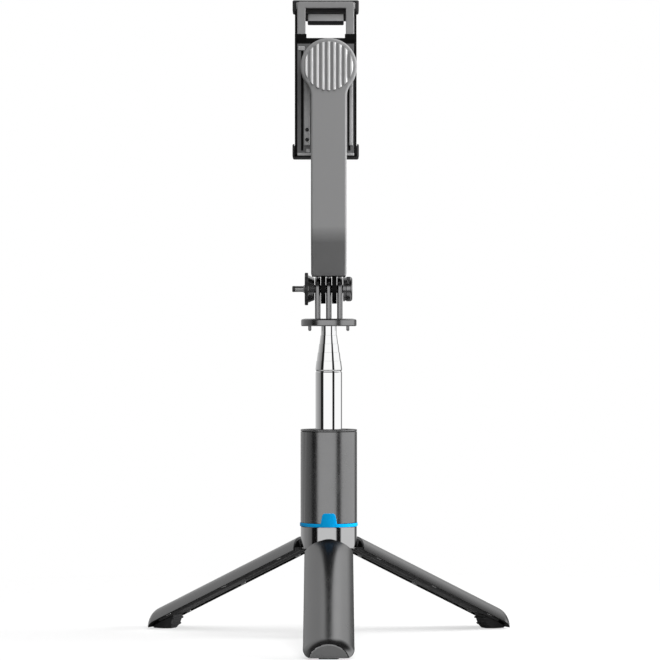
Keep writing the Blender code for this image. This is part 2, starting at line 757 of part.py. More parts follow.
def make_thumbscrew(pan):
    """A clamping screw across the prongs: threaded bolt, tapered hub, lobed knob and post."""
    turn = pivot("thumbscrew_turn", (0, 0, TILT_Z), parent=pan)
    start = PRONG_SIDE + GAP
    knob = start + KNOB_HUB_LENGTH
    face = knob + KNOB_THICKNESS
    tip = face + POST_LENGTH
    floor = start + KNOB_BORE_DEPTH
    bore = BOLT_RADIUS + RUN
    profile = [
        (0, tip),
        (POST_RADIUS - GAP, tip),
        (POST_RADIUS, tip - GAP),
        (POST_RADIUS, face + POST_FLARE),
        (POST_RADIUS + POST_FLARE, face - GAP),
        (KNOB_HUB_RADIUS, knob + GAP),
        (KNOB_HUB_RADIUS, knob - GAP),
        (KNOB_HUB_RADIUS - KNOB_HUB_TAPER, start),
        (bore, start),
        (bore, floor),
        (0, floor),
    ]
    screw = turned("thumbscrew", profile, TUBE, closed=False)
    screw.rotation_euler = (0, -math.pi / 2, 0)
    lobes = []
    steps = 8 * KNOB_LOBES
    for i in range(steps):
        angle = 2 * math.pi * i / steps
        radius = KNOB_RADIUS - KNOB_LOBE_DEPTH * (1 - math.cos(KNOB_LOBES * angle)) / 2
        lobes.append((radius * math.cos(angle), radius * math.sin(angle)))
    disc = facing_x(plate("knob", [lobes], KNOB_THICKNESS))
    join(screw, at(disc, turn, (-(knob + face) / 2, 0, 0)))
    as_part(screw, satin_black, turn)
    end = PRONG_SIDE + GAP + NUT_HEIGHT
    bolt = rod("tilt_bolt", BOLT_RADIUS, GAP - floor, end)
    bolt.rotation_euler = (0, math.pi / 2, 0)
    as_part(bolt, steel, turn)


def slanted(along, across):
    """A point of the arm's slanted foot, from the tilt axis."""
    y = across * math.cos(ARM_SLANT) - along * math.sin(ARM_SLANT)
    z = across * math.sin(ARM_SLANT) + along * math.cos(ARM_SLANT)
    return y, z


def slant_face():
    """How far the slanted foot's back face lies from the tilt axis."""
    return ARM_CORNER_RISE * math.sin(ARM_SLANT) - ARM_SETBACK * math.cos(ARM_SLANT)


def arm_band(near, far):
    """The arm's side view between two depths from its back face."""
    bend_z = ARM_CORNER_RISE + ARM_BEND * math.tan(ARM_SLANT / 2)
    centre = (ARM_BACK + ARM_BEND, bend_z)
    top = ARM_RISE + REACH
    flat = math.pi
    lean = math.pi + ARM_SLANT
    face = slant_face()
    outline = [slanted(ARM_ROOT, face + near)]
    outline += arc(centre, ARM_BEND - near, lean, flat)
    outline += [(ARM_BACK + near, top), (ARM_BACK + far, top)]
    outline += arc(centre, ARM_BEND - far, flat, lean)
    outline.append(slanted(ARM_ROOT, face + far))
    return outline


def arm_outline():
    """The arm's front view: a round head on a straight bar, with filleted shoulders."""
    half = ARM_WIDTH / 2
    drop = math.sqrt((HEAD_RADIUS + NECK_FILLET) ** 2 - (half + NECK_FILLET) ** 2)
    lean = math.atan2(drop, half + NECK_FILLET)
    neck = ARM_RISE - drop
    right = arc((half + NECK_FILLET, neck), NECK_FILLET, math.pi, math.pi - lean, 6)
    head = arc((0, ARM_RISE), HEAD_RADIUS, -lean, math.pi + lean, 36)
    left = arc((-half - NECK_FILLET, neck), NECK_FILLET, lean, 0, 6)
    return [(half, 0), *right, *head[1:-1], *left, (-half, 0)]


def arm_shell(name, near, far, tilt):
    made = facing_x(plate(name, [arm_band(near, far)], 4 * HEAD_RADIUS))
    keep = facing_y(plate(name + "_outline", [arm_outline()], 2 * REACH))
    combine(made, at(keep, tilt), "INTERSECT")
    return made


def make_arm(pan):
    tilt = pivot("arm_tilt", (0, 0, TILT_Z), parent=pan)
    rear = arm_shell("arm_rear_shell", 0, REAR_THICKNESS, tilt)
    round_edges(rear, ARM_EDGE)
    recess = along_y(rod("cap_recess", CAP_RADIUS + GAP, ARM_BACK - REACH, ARM_BACK + CAP_RECESS, ROUND))
    cavity = along_y(rod("head_cavity", HEAD_CAVITY_RADIUS, CAVITY_BACK, LID_BACK, TUBE))
    cut(rear, at(recess, tilt, (0, 0, ARM_RISE)), at(cavity, tilt, (0, 0, ARM_RISE)))
    face = slant_face()
    near = math.asin(face / FINGER_RADIUS)
    far = math.asin((face + REAR_THICKNESS - RUN) / FINGER_RADIUS)
    seat = ARM_ROOT + FINGER_SEAT
    swing = arc((0, 0), FINGER_RADIUS, near, far - 2 * math.pi, 3 * ARC)
    finger = [(seat, face + RUN), *swing, (seat, face + REAR_THICKNESS - RUN)]
    outline = [slanted(along, across) for along, across in finger]
    hole = circle((0, 0), BOLT_RADIUS + RUN)
    for side in (-1, 1):
        made = facing_x(plate("finger", [outline, hole], FINGER_THICKNESS))
        join(rear, at(made, tilt, (side * PRONG_PITCH / 2, 0, 0)))
    front = arm_shell("arm_front_shell", REAR_THICKNESS + GAP, ARM_THICKNESS, tilt)
    boss = along_y(rod("boss", HEAD_RADIUS - HEAD_BOSS_STEP, ARM_FRONT - OVERLAP, BOSS_FRONT, ROUND))
    bore = along_y(rod("bore", SHAFT_RADIUS + RUN, ARM_BACK + REAR_THICKNESS, REACH))
    join(front, at(boss, tilt, (0, 0, ARM_RISE)))
    cut(front, at(bore, tilt, (0, 0, ARM_RISE)))
    as_part(rear, satin_grey, tilt)
    as_part(front, satin_grey, tilt)

    floor = ARM_BACK + CAP_RECESS - GAP
    base = floor - CAP_BASE
    cap = along_y(rod("swivel_cap", CAP_RADIUS + OVERLAP, base, floor + OVERLAP, ROUND))
    for i in range(RIB_COUNT):
        x = (i - (RIB_COUNT - 1) / 2) * RIB_PITCH
        rib = rod("rib", RIB_RADIUS, -HEAD_RADIUS, HEAD_RADIUS, ARC)
        join(cap, at(rib, tilt, (x, base, ARM_RISE)))
    keep = along_y(rod("cap_keep", CAP_RADIUS, base - OVERLAP - RIB_RADIUS, floor, ROUND))
    combine(cap, at(keep, tilt, (0, 0, ARM_RISE)), "INTERSECT")
    as_part(cap, satin_grey, tilt, (0, 0, ARM_RISE))
    return tilt


def make_swivel(swivel):
    """The shaft from the clamp through the arm's lid, with its ring, washer and nut."""
    nut_front = LID_BACK - GAP - WASHER_THICKNESS - GAP
    nut_back = nut_front - SWIVEL_NUT_HEIGHT
    head_back = BODY_FRONT - GAP - SHAFT_HEAD
    bore = SHAFT_RADIUS + RUN
    shaft = turned(
        "swivel_shaft",
        [
            (0, BODY_FRONT - GAP),
            (SHAFT_HEAD_RADIUS, BODY_FRONT - GAP),
            (SHAFT_HEAD_RADIUS, head_back),
            (SHAFT_RADIUS, head_back),
            (SHAFT_RADIUS, nut_back),
            (0, nut_back),
        ],
        TUBE,
        closed=False,
    )
    as_part(along_y(shaft), steel, swivel)
    ring_back = BOSS_FRONT + GAP
    spacer = along_y(turned("friction_ring", ring(RING_RADIUS, bore, ring_back, ring_back + RING_THICKNESS), TUBE))
    as_part(spacer, rubber, swivel)
    washer_back = nut_front + GAP
    washer = turned("thrust_washer", ring(WASHER_RADIUS, bore, washer_back, washer_back + WASHER_THICKNESS), TUBE)
    as_part(along_y(washer), steel, swivel)
    hexagon = circle((0, 0), SWIVEL_NUT_ACROSS / math.sqrt(3), 6)
    nut = facing_y(plate("swivel_nut", [hexagon, circle((0, 0), bore)], SWIVEL_NUT_HEIGHT))
    as_part(nut, steel, swivel, (0, (nut_front + nut_back) / 2, 0))


def make_clamp_body(swivel):
    half = CLAMP_WIDTH / 2
    middle = (-CLAMP_SHIFT, 0, 0)
    body = box("clamp_body", (-half, BODY_BACK, -CLAMP_BELOW), (half, BODY_FRONT, CLAMP_ABOVE), CLAMP_EDGE)
    shelf = box(
        "shelf",
        (-SHELF_HALF, BODY_BACK + BACK_WALL, -CLAMP_BELOW + RUN),
        (SHELF_HALF, LIP_BACK, LOWER_SHELF_TOP),
    )
    join(body, at(shelf, swivel))
    for side in (-1, 1):
        rail = box(
            "rail",
            (side * RAIL_CENTRE - RAIL_WIDTH / 2, BODY_BACK - RAIL_HEIGHT, RAIL_MARGIN - CLAMP_BELOW),
            (side * RAIL_CENTRE + RAIL_WIDTH / 2, BODY_BACK + OVERLAP, CLAMP_ABOVE - RAIL_MARGIN),
            RAIL_HEIGHT / 2,
        )
        near = WINDOW_HALF - GAP
        far = FRAME_HALF + GAP
        channel = box(
            "channel",
            (min(side * near, side * far), BODY_BACK + BACK_WALL, CHANNEL_FLOOR - CLAMP_BELOW),
            (max(side * near, side * far), PLATE_BACK, REACH),
        )
        collar = box(
            "collar",
            (min(side * near, side * half), BODY_BACK, CLAMP_ABOVE - CLAMP_EDGE - OVERLAP),
            (max(side * near, side * half), BODY_BACK + BACK_WALL, CLAMP_ABOVE + COLLAR_RISE),
        )
        join(body, at(rail, swivel, middle), at(collar, swivel))
        cut(body, at(channel, swivel))
    pocket_back = BODY_FRONT - SHAFT_HEAD - 2 * GAP
    pocket = along_y(rod("pocket", SHAFT_HEAD_RADIUS + GAP, pocket_back, REACH, TUBE))
    hole = along_y(rod("shaft_hole", SHAFT_RADIUS + RUN, -REACH, REACH))
    cut(body, at(pocket, swivel, middle), at(hole, swivel, middle))
    return body


def make_clamp(tilt):
    """The housing and its lower jaw, a little to one side of the swivel."""
    turn = pivot("clamp_swivel", (0, 0, ARM_RISE), parent=tilt)
    make_swivel(turn)
    swivel = pivot("clamp_middle", (CLAMP_SHIFT, 0, 0), parent=turn)
    body = make_clamp_body(swivel)
    half = CLAMP_WIDTH / 2 - FRONT_MARGIN
    low = LOWER_SHELF_TOP + GAP
    high = CLAMP_ABOVE - FRONT_MARGIN
    front = box("clamp_front", (-half, PLATE_BACK, low), (half, PLATE_FRONT, high))
    as_part(body, satin_grey, swivel)
    as_part(front, satin_black, swivel)
    rest = box(
        "rest_pad",
        (-REST_PAD_WIDTH / 2, PLATE_FRONT + GAP, low + REST_PAD_MARGIN / 2),
        (REST_PAD_WIDTH / 2, PHONE_BACK, high - REST_PAD_MARGIN / 2),
        REST_PAD / 3,
    )
    as_part(rest, rubber, swivel)

    ears = (-PAD_HALF, BODY_BACK + PAD_OVERHANG, -CLAMP_BELOW - GAP - PAD_SKIN)
    pad = box("lower_pad", ears, (PAD_HALF, JAW_FRONT, LOWER_GRIP + PAD_EAR_RISE), PAD_EDGE)
    lip = box(
        "lower_lip",
        (-LIP_WIDTH / 2, LIP_BACK + GAP, LOWER_SHELF_TOP),
        (LIP_WIDTH / 2, JAW_FRONT - RUN, LOWER_GRIP + LIP_HEIGHT),
        PAD_EDGE,
    )
    finish_pad(pad, lip, swivel, -CLAMP_BELOW, LOWER_SHELF_TOP, LOWER_GRIP, 1)
    body_room = box(
        "body_room",
        (-CLAMP_WIDTH / 2 - GAP, -REACH, -CLAMP_BELOW - GAP),
        (CLAMP_WIDTH / 2 + GAP, PHONE_BACK, REACH),
    )
    cut(pad, at(body_room, swivel))
    as_part(pad, rubber, swivel)
    make_leaves(swivel)
    return swivel


def finish_pad(pad, lip, parent, shelf_low, shelf_high, grip, upward):
    """Opens a rubber sleeve for its shelf, clears the phone's space and adds the lip."""
    sleeve = box(
        "sleeve",
        (-SHELF_HALF - GAP, -REACH, shelf_low - GAP),
        (SHELF_HALF + GAP, LIP_BACK + GAP, shelf_high + GAP),
    )
    away = grip + upward * REACH
    phone = box("phone", (-REACH, PHONE_BACK, min(grip, away)), (REACH, LIP_BACK, max(grip, away)))
    cut(pad, at(sleeve, parent), at(phone, parent))
    join(pad, at(lip, parent))


def make_leaves(swivel):
    """Two bowed strips between the front plate and the jaw's legs."""
    room = PLATE_BACK - FRAME_FRONT - 2 * GAP
    bow = room - LEAF_THICKNESS
    radius = (LEAF_LENGTH**2 / 4 + bow**2) / (2 * bow)
    lean = math.asin(LEAF_LENGTH / 2 / radius)
    centre = (FRAME_FRONT + GAP + radius, -LEAF_DROP)
    outer = arc(centre, radius, math.pi - lean, math.pi + lean)
    inner = arc(centre, radius - LEAF_THICKNESS, math.pi + lean, math.pi - lean)
    middle = (WINDOW_HALF + FRAME_HALF) / 2
    for name, side in (("left", -1), ("right", 1)):
        leaf = facing_x(plate("friction_leaf_" + name, [outer + inner], LEAF_WIDTH))
        as_part(leaf, steel, swivel, (side * middle, 0, 0))


def make_jaw(swivel):
    """The upper jaw: a window frame on two legs, with a shelf in a rubber sleeve."""
    corner = FRAME_CORNER
    foot = FRAME_TOP - FRAME_LENGTH
    outline = [(-FRAME_HALF, foot)]
    outline += arc((corner - FRAME_HALF, FRAME_TOP - corner), corner, math.pi, math.pi / 2, 4)
    outline += arc((FRAME_HALF - corner, FRAME_TOP - corner), corner, math.pi / 2, 0, 4)
    outline += [(FRAME_HALF, foot), (WINDOW_HALF, foot), (WINDOW_HALF, UPPER_SHELF)]
    outline += [(-WINDOW_HALF, UPPER_SHELF), (-WINDOW_HALF, foot)]
    jaw = facing_y(plate("upper_jaw", [outline], FRAME_THICKNESS))
    shelf = box(
        "upper_shelf",
        (-SHELF_HALF, FRAME_FRONT - OVERLAP, UPPER_SHELF),
        (SHELF_HALF, LIP_BACK, FRAME_TOP - RUN),
    )
    join(jaw, at(shelf, swivel))
    as_part(jaw, satin_grey, swivel, (0, (FRAME_BACK + FRAME_FRONT) / 2, 0))
    high = FRAME_TOP + GAP + PAD_SKIN
    pad = box("upper_pad", (-PAD_HALF, FRAME_FRONT + GAP, UPPER_GRIP), (PAD_HALF, JAW_FRONT, high), PAD_EDGE)
    lip = box(
        "upper_lip",
        (-LIP_WIDTH / 2, LIP_BACK + GAP, UPPER_GRIP - LIP_HEIGHT),
        (LIP_WIDTH / 2, JAW_FRONT - RUN, UPPER_SHELF),
        PAD_EDGE,
    )
    finish_pad(pad, lip, swivel, UPPER_SHELF, FRAME_TOP, UPPER_GRIP, -1)
    as_part(pad, rubber, swivel)


def make_remote():
    """A shutter remote in a cup, on the side of the handle that faces the user."""
    wall = 2 * (GAP + DOCK_WALL)
    back = REMOTE_BACK - GAP - DOCK_WALL
    dock = remote_block("remote_dock", REMOTE_WIDTH + wall, REMOTE_HEIGHT + wall, back)
    inside = rod("dock_keep", TUBE_BORE - GAP, -1, 1, ROUND)
    combine(dock, inside, "INTERSECT")
    cut(dock, remote_block("dock_room", REMOTE_WIDTH + 2 * GAP, REMOTE_HEIGHT + 2 * GAP, REMOTE_BACK - GAP))
    as_part(dock, satin_black, None, dock.location.copy())

    case = remote_block("remote_case", REMOTE_WIDTH, REMOTE_HEIGHT, REMOTE_BACK)
    outside = rod("remote_keep", HANDLE_RADIUS + REMOTE_PROUD, -1, 1, ROUND)
    combine(case, outside, "INTERSECT")
    top = HANDLE_RADIUS + REMOTE_PROUD + BUTTON_PROUD
    floor = top - BUTTON_DEPTH - BUTTON_TRAVEL - GAP
    centre = (0, 0, REMOTE_Z + BUTTON_RISE)
    well = along_y(rod("button_well", BUTTON_RADIUS + GAP, floor, REACH, TUBE))
    cut(case, at(well, None, centre))
    as_part(case, satin_black, None, case.location.copy())
    button = along_y(rod("shutter_button", BUTTON_RADIUS, top - BUTTON_DEPTH, top, TUBE))
    as_part(button, satin_grey, None, centre)


for leftover in list(bpy.data.objects):
    bpy.data.objects.remove(leftover, do_unlink=True)

parts = new_collection("selfie_stick")
cutters = new_collection("cutters")

gloss_black = new_material("gloss_black", (0.035, 0.036, 0.038), 0.18, 0.0)
satin_black = new_material("satin_black", (0.02, 0.02, 0.021), 0.45, 0.0)
satin_grey = new_material("satin_grey", (0.2, 0.2, 0.2), 0.42, 0.0)
rubber = new_material("rubber", (0.03, 0.03, 0.03), 0.8, 0.0)
blue_plastic = new_material("blue_plastic", (0.005, 0.33, 0.8), 0.3, 0.0)
chrome = new_material("chrome", (0.8, 0.8, 0.8), 0.08, 1.0)
dark_chrome = new_material("dark_chrome", (0.55, 0.55, 0.56), 0.12, 1.0)
steel = new_material("steel", (0.5, 0.5, 0.5), 0.35, 1.0)

make_handle()
make_hub()
make_legs()
make_pole()
head_pivot = make_head()
make_thumbscrew(head_pivot)
arm_pivot = make_arm(head_pivot)
clamp_pivot = make_clamp(arm_pivot)
make_jaw(clamp_pivot)
make_remote()
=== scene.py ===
"""Looks of a selfie stick whose handle opens into three legs, built piece by piece from the floor up."""

import math

import bmesh
import bpy
from mathutils import Matrix, Vector


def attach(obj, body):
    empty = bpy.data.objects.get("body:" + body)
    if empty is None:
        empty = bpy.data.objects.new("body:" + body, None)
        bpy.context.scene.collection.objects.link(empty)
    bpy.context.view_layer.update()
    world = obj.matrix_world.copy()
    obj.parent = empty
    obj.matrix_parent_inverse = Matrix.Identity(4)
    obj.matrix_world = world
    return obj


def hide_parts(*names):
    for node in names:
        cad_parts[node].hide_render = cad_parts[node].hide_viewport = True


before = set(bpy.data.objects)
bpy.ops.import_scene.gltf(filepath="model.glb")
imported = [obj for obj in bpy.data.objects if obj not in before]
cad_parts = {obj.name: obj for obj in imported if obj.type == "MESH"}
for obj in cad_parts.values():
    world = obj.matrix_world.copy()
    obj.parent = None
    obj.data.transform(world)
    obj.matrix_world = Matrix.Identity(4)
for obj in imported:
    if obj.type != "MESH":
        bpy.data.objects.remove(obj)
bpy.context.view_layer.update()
scene = bpy.context.scene

# Base of the pole: a thin steel tube, drawn and chrome plated, that runs down through the handle
# and hangs below the hub, with a moulded stopper pressed into its lower end.
BASE_RADIUS = 8.65
BASE_WALL = 0.6
BASE_LOW = 10.04
BASE_HIGH = 117.94


def turned(profile, steps=112):
    """An outline of (radius, height) spun about the pole's axis. One that starts on the axis stays open."""
    shape = bmesh.new()
    points = [shape.verts.new((radius, 0, height)) for radius, height in profile]
    ends = points[1:] if profile[0][0] == 0 else points[1:] + points[:1]
    lines = [shape.edges.new(pair) for pair in zip(points, ends)]
    bmesh.ops.spin(
        shape,
        geom=points + lines,
        cent=(0, 0, 0),
        axis=(0, 0, 1),
        angle=math.tau,
        steps=steps,
        use_merge=True,
    )
    bmesh.ops.remove_doubles(shape, verts=shape.verts[:], dist=0.001)
    bmesh.ops.dissolve_degenerate(shape, edges=shape.edges[:], dist=0.0005)
    bmesh.ops.recalc_face_normals(shape, faces=shape.faces[:])
    return shape


def pipe(bore, radius, low, high, steps=112):
    """A straight tube, or a rod where it has no bore."""
    return turned([(bore, low), (radius, low), (radius, high), (bore, high)], steps)


def soften(shape, width, segments=3, sharper=30):
    """Rolls every edge that is sharper than an angle, as a mould or a die leaves it."""
    limit = math.radians(sharper)
    edges = [edge for edge in shape.edges if edge.is_manifold and edge.calc_face_angle(0) > limit]
    bmesh.ops.bevel(
        shape,
        geom=edges,
        offset=width,
        offset_type="OFFSET",
        segments=segments,
        profile=0.5,
        affect="EDGES",
        material=-1,
        clamp_overlap=True,
    )
    return shape


def piece(name, shape, finishes, body, slot, *nodes):
    """Puts a shape made in millimetres into the scene, riding a body in place of its solids."""
    bmesh.ops.scale(shape, vec=(0.001, 0.001, 0.001), verts=shape.verts[:])
    mesh = bpy.data.meshes.new(name)
    shape.to_mesh(mesh)
    shape.free()
    mesh.shade_smooth()
    mesh.set_sharp_from_angle(angle=math.radians(40))
    for finish in finishes:
        mesh.materials.append(finish)
    made = bpy.data.objects.new(name, mesh)
    scene.collection.objects.link(made)
    flats = made.modifiers.new("flats", "WEIGHTED_NORMAL")
    flats.keep_sharp = True
    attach(made, body)
    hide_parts(*nodes)


def node_group(name, inputs, outputs):
    """An empty shader group with its sockets, for an effect that several finishes share."""
    tree = bpy.data.node_groups.new(name, "ShaderNodeTree")
    for label, kind, value in inputs:
        socket = tree.interface.new_socket(label, in_out="INPUT", socket_type=kind)
        if value is not None:
            socket.default_value = value
    for label, kind in outputs:
        tree.interface.new_socket(label, in_out="OUTPUT", socket_type=kind)
    return tree, tree.nodes.new("NodeGroupInput"), tree.nodes.new("NodeGroupOutput")


def add(tree, kind, **values):
    """A shader node with its settings, and its sockets' values by name or number."""
    node = tree.nodes.new(kind)
    sockets = values.pop("sockets", {})
    for label, value in values.items():
        setattr(node, label, value)
    for label, value in sockets.items():
        node.inputs[label].default_value = value
    return node


def skin_group():
    """Fine pebbling of a moulded or plated skin, and a broad cloudiness that handling leaves."""
    tree, given, made = node_group(
        "skin",
        [("Vector", "NodeSocketVector", None), ("Scale", "NodeSocketFloat", 2500.0)],
        [("Height", "NodeSocketFloat"), ("Cloud", "NodeSocketFloat")],
    )
    fine = add(tree, "ShaderNodeTexNoise", sockets={"Detail": 2.0, "Roughness": 0.6})
    tree.links.new(given.outputs["Vector"], fine.inputs["Vector"])
    tree.links.new(given.outputs["Scale"], fine.inputs["Scale"])
    broad = add(tree, "ShaderNodeTexNoise", sockets={"Scale": 55.0, "Detail": 4.0, "Roughness": 0.55})
    tree.links.new(given.outputs["Vector"], broad.inputs["Vector"])
    tree.links.new(fine.outputs[0], made.inputs["Height"])
    tree.links.new(broad.outputs[0], made.inputs["Cloud"])
    return tree


def wear_and_highlight_group():
    """Rubbed edges and a painted edge highlight: where the skin bends sharply outwards, broken up by a small
    noise.
    """
    tree, given, made = node_group(
        "edge_wear_and_highlight",
        [("Vector", "NodeSocketVector", None)],
        [("Mask", "NodeSocketFloat")],
    )
    bend = add(tree, "ShaderNodeNewGeometry")
    edge = add(tree, "ShaderNodeMapRange", sockets={"From Min": 0.52, "From Max": 0.6})
    tree.links.new(bend.outputs["Pointiness"], edge.inputs["Value"])
    patch = add(tree, "ShaderNodeTexNoise", sockets={"Scale": 420.0, "Detail": 3.0})
    tree.links.new(given.outputs["Vector"], patch.inputs["Vector"])
    mask = add(tree, "ShaderNodeMath", operation="MULTIPLY")
    tree.links.new(edge.outputs["Result"], mask.inputs[0])
    tree.links.new(patch.outputs[0], mask.inputs[1])
    tree.links.new(mask.outputs[0], made.inputs["Mask"])
    return tree


SKIN = skin_group()
WEAR_AND_HIGHLIGHT = wear_and_highlight_group()


def finish(
    name,
    colour,
    rough,
    metal=0.0,
    grain=2500.0,
    depth=0.00002,
    cloud=0.12,
    wear_and_highlight=0.0,
    gloss=0.5,
    stretch=(1, 1, 1),
):
    """A finish with its own grain: colour and roughness drift with the cloud, and edges turn paler, partly as
    wear and partly as a painted highlight.
    """
    made = bpy.data.materials.new(name)
    made.use_nodes = True
    tree = made.node_tree
    shader = tree.nodes["Principled BSDF"]
    shader.inputs["Metallic"].default_value = metal
    shader.inputs["Specular IOR Level"].default_value = gloss
    place = add(tree, "ShaderNodeTexCoord")
    turn = add(tree, "ShaderNodeMapping", sockets={"Scale": stretch})
    tree.links.new(place.outputs["Object"], turn.inputs["Vector"])
    skin = add(tree, "ShaderNodeGroup", node_tree=SKIN, sockets={"Scale": grain})
    tree.links.new(turn.outputs["Vector"], skin.inputs["Vector"])
    low = [part * (1 - cloud) for part in colour]
    high = [min(1, part * (1 + cloud)) for part in colour]
    tint = add(tree, "ShaderNodeMix", data_type="RGBA")
    tint.inputs[6].default_value = (*low, 1)
    tint.inputs[7].default_value = (*high, 1)
    tree.links.new(skin.outputs["Cloud"], tint.inputs["Factor"])
    colour_out = tint.outputs[2]
    # Convex edges are lightened: partly rubbed wear, partly a painted highlight where the edges would catch
    # the light.
    if wear_and_highlight:
        wear_and_highlight_node = add(tree, "ShaderNodeGroup", node_tree=WEAR_AND_HIGHLIGHT)
        tree.links.new(place.outputs["Object"], wear_and_highlight_node.inputs["Vector"])
        paler = add(tree, "ShaderNodeMix", data_type="RGBA")
        paler.inputs[7].default_value = (*[min(1, part + wear_and_highlight) for part in colour], 1)
        tree.links.new(wear_and_highlight_node.outputs["Mask"], paler.inputs["Factor"])
        tree.links.new(colour_out, paler.inputs[6])
        colour_out = paler.outputs[2]
    tree.links.new(colour_out, shader.inputs["Base Color"])
    spread = add(
        tree,
        "ShaderNodeMapRange",
        sockets={"From Min": 0.3, "From Max": 0.7, "To Min": rough * 0.85, "To Max": rough * 1.2},
    )
    tree.links.new(skin.outputs["Cloud"], spread.inputs["Value"])
    tree.links.new(spread.outputs["Result"], shader.inputs["Roughness"])
    bump = add(tree, "ShaderNodeBump", sockets={"Strength": 1.0, "Distance": depth})
    tree.links.new(skin.outputs["Height"], bump.inputs["Height"])
    tree.links.new(bump.outputs["Normal"], shader.inputs["Normal"])
    return made


chrome = finish("chrome_plate", (0.95, 0.955, 0.96), 0.04, 1.0, 300.0, 0.0000004, 0.02, stretch=(1, 1, 0.02))
satin_black = finish(
    "satin_black_plastic", (0.018, 0.018, 0.019), 0.42, grain=3200.0, depth=0.00003, wear_and_highlight=0.05
)
flat_black = finish("flat_black_plastic", (0.004, 0.004, 0.004), 0.55, grain=2600.0, gloss=0.1)

base = soften(pipe(BASE_RADIUS - BASE_WALL, BASE_RADIUS, BASE_LOW, BASE_HIGH), 0.18)
piece("base_sleeve", base, [chrome], "handle", "chrome", "base_tube")

stopper = turned(
    [
        (0, BASE_LOW + 4.5),
        (BASE_RADIUS - 0.9, BASE_LOW + 4.5),
        (BASE_RADIUS - 0.9, BASE_LOW - 0.3),
        (BASE_RADIUS, BASE_LOW - 0.3),
        (BASE_RADIUS, BASE_LOW - 1.8),
        (BASE_RADIUS - 2.4, BASE_LOW - 1.8),
        (BASE_RADIUS - 3.0, BASE_LOW - 1.2),
        (1.4, BASE_LOW - 1.2),
        (1.1, BASE_LOW - 0.6),
        (0, BASE_LOW - 0.6),
    ]
)
soften(stopper, 0.25)
piece("base_stopper", stopper, [satin_black], "handle", "satin_black", "base_plug")

# Hub of the tripod: a die-cast zinc collar under a bright plating, with a clevis slot for each leg's
# knuckle. Its spigot goes up into the handle tube, and the base tube passes through its bore.
PIVOT_OUT = 11.7
PIVOT_UP = 56.338
SPLAY = math.radians(25.3)
FOLD = math.pi / 2 - SPLAY
HUB_RADIUS = 16.4
HUB_LOW = PIVOT_UP - 4.15
HUB_HIGH = PIVOT_UP + 8.3
SLOT_HALF = 4.0
EYE = 2.9
LEGS = {"front": math.radians(-90), "right": math.radians(30), "left": math.radians(150)}


def arc(centre, radius, start, end, steps=16):
    """Points along part of a circle."""
    across, up = centre
    angles = [start + (end - start) * i / steps for i in range(steps + 1)]
    return [(across + radius * math.cos(angle), up + radius * math.sin(angle)) for angle in angles]


def slab(outline, low, high, axis):
    """A flat outline drawn through a thickness along one axis."""
    shape = bmesh.new()
    spots = {"x": lambda a, b: (low, a, b), "y": lambda a, b: (a, low, b), "z": lambda a, b: (a, b, low)}
    face = shape.faces.new([shape.verts.new(spots[axis](*point)) for point in outline])
    grown = bmesh.ops.extrude_face_region(shape, geom=[face])
    far = [part for part in grown["geom"] if isinstance(part, bmesh.types.BMVert)]
    way = Vector((axis == "x", axis == "y", axis == "z")) * (high - low)
    bmesh.ops.translate(shape, vec=way, verts=far)
    bmesh.ops.recalc_face_normals(shape, faces=shape.faces[:])
    return shape


def carve(shape, tool, operation="DIFFERENCE"):
    """Cuts one shape with another, and hands back what is left."""
    blanks = []
    for part in (shape, tool):
        mesh = bpy.data.meshes.new("blank")
        part.to_mesh(mesh)
        part.free()
        blank = bpy.data.objects.new("blank", mesh)
        scene.collection.objects.link(blank)
        blanks.append(blank)
    cut = blanks[0].modifiers.new("cut", "BOOLEAN")
    cut.object = blanks[1]
    cut.operation = operation
    cut.solver = "EXACT"
    left = bmesh.new()
    left.from_object(blanks[0], bpy.context.evaluated_depsgraph_get())
    for blank in blanks:
        bpy.data.meshes.remove(blank.data)
    return left


def move(shape, matrix):
    """Shifts or turns a whole shape."""
    bmesh.ops.transform(shape, matrix=matrix, verts=shape.verts[:])
    return shape


hub_plate = finish("hub_plate", (0.5, 0.5, 0.505), 0.09, 1.0, 600.0, 0.000001, 0.04)

hub = turned(
    [
        (14.6, HUB_HIGH + 11.5),
        (14.6, HUB_HIGH),
        (HUB_RADIUS, HUB_HIGH),
        (HUB_RADIUS, HUB_LOW + 0.5),
        (HUB_RADIUS - 0.5, HUB_LOW),
        (BASE_RADIUS + 0.3, HUB_LOW),
        (BASE_RADIUS + 0.3, HUB_HIGH + 11.5),
    ]
)
roof = arc((PIVOT_OUT, PIVOT_UP), EYE, FOLD, math.pi)
roof_drop = 14 * math.tan(SPLAY)
slot_side = [
    (roof[0][0] + 14, HUB_LOW - 3),
    (roof[0][0] + 14, roof[0][1] - roof_drop),
    *roof,
    (PIVOT_OUT - EYE, HUB_LOW - 3),
]
for azimuth in LEGS.values():
    hub = carve(hub, move(slab(slot_side, -SLOT_HALF, SLOT_HALF, "y"), Matrix.Rotation(azimuth, 4, "Z")))
soften(hub, 0.2, 2, 35)
piece("hinge_collar", hub, [hub_plate], "handle", "dark_chrome", "tripod_hub")

# Legs: each is a third of the handle's lower wall, an aluminium shell in a dark mirror plating, closed by a
# moulded liner. Its nose is formed round and cut off flat, and the cut's rim is rolled.
LEG_RADIUS = 16.5
LEG_TOP = 5.9
LEG_CHORD = 8.55
LEG_REACH = 122.0
NOSE = 9.5
LEG_SKIN = 1.5
INNER_REACH = 118.4
INNER_NOSE = 7.0
FACET_TOP = (120.75, 8.2)
FACET_LEAN = math.radians(-10)
CHIN = ((109.5, 6.8), (119.4, 0.6))
GROOVE_SHADE_ANGLE = math.radians(57)
THIRD = math.radians(59.2)
SHELL_LOW = 0.6


def leg_point(reach, height):
    """A point beside the pole of an open leg, as (out, up) of the same leg folded down."""
    out = reach - PIVOT_OUT
    up = height - PIVOT_UP
    across = out * math.sin(SPLAY) + up * math.cos(SPLAY)
    along = out * math.cos(SPLAY) - up * math.sin(SPLAY)
    return PIVOT_OUT + across, -along


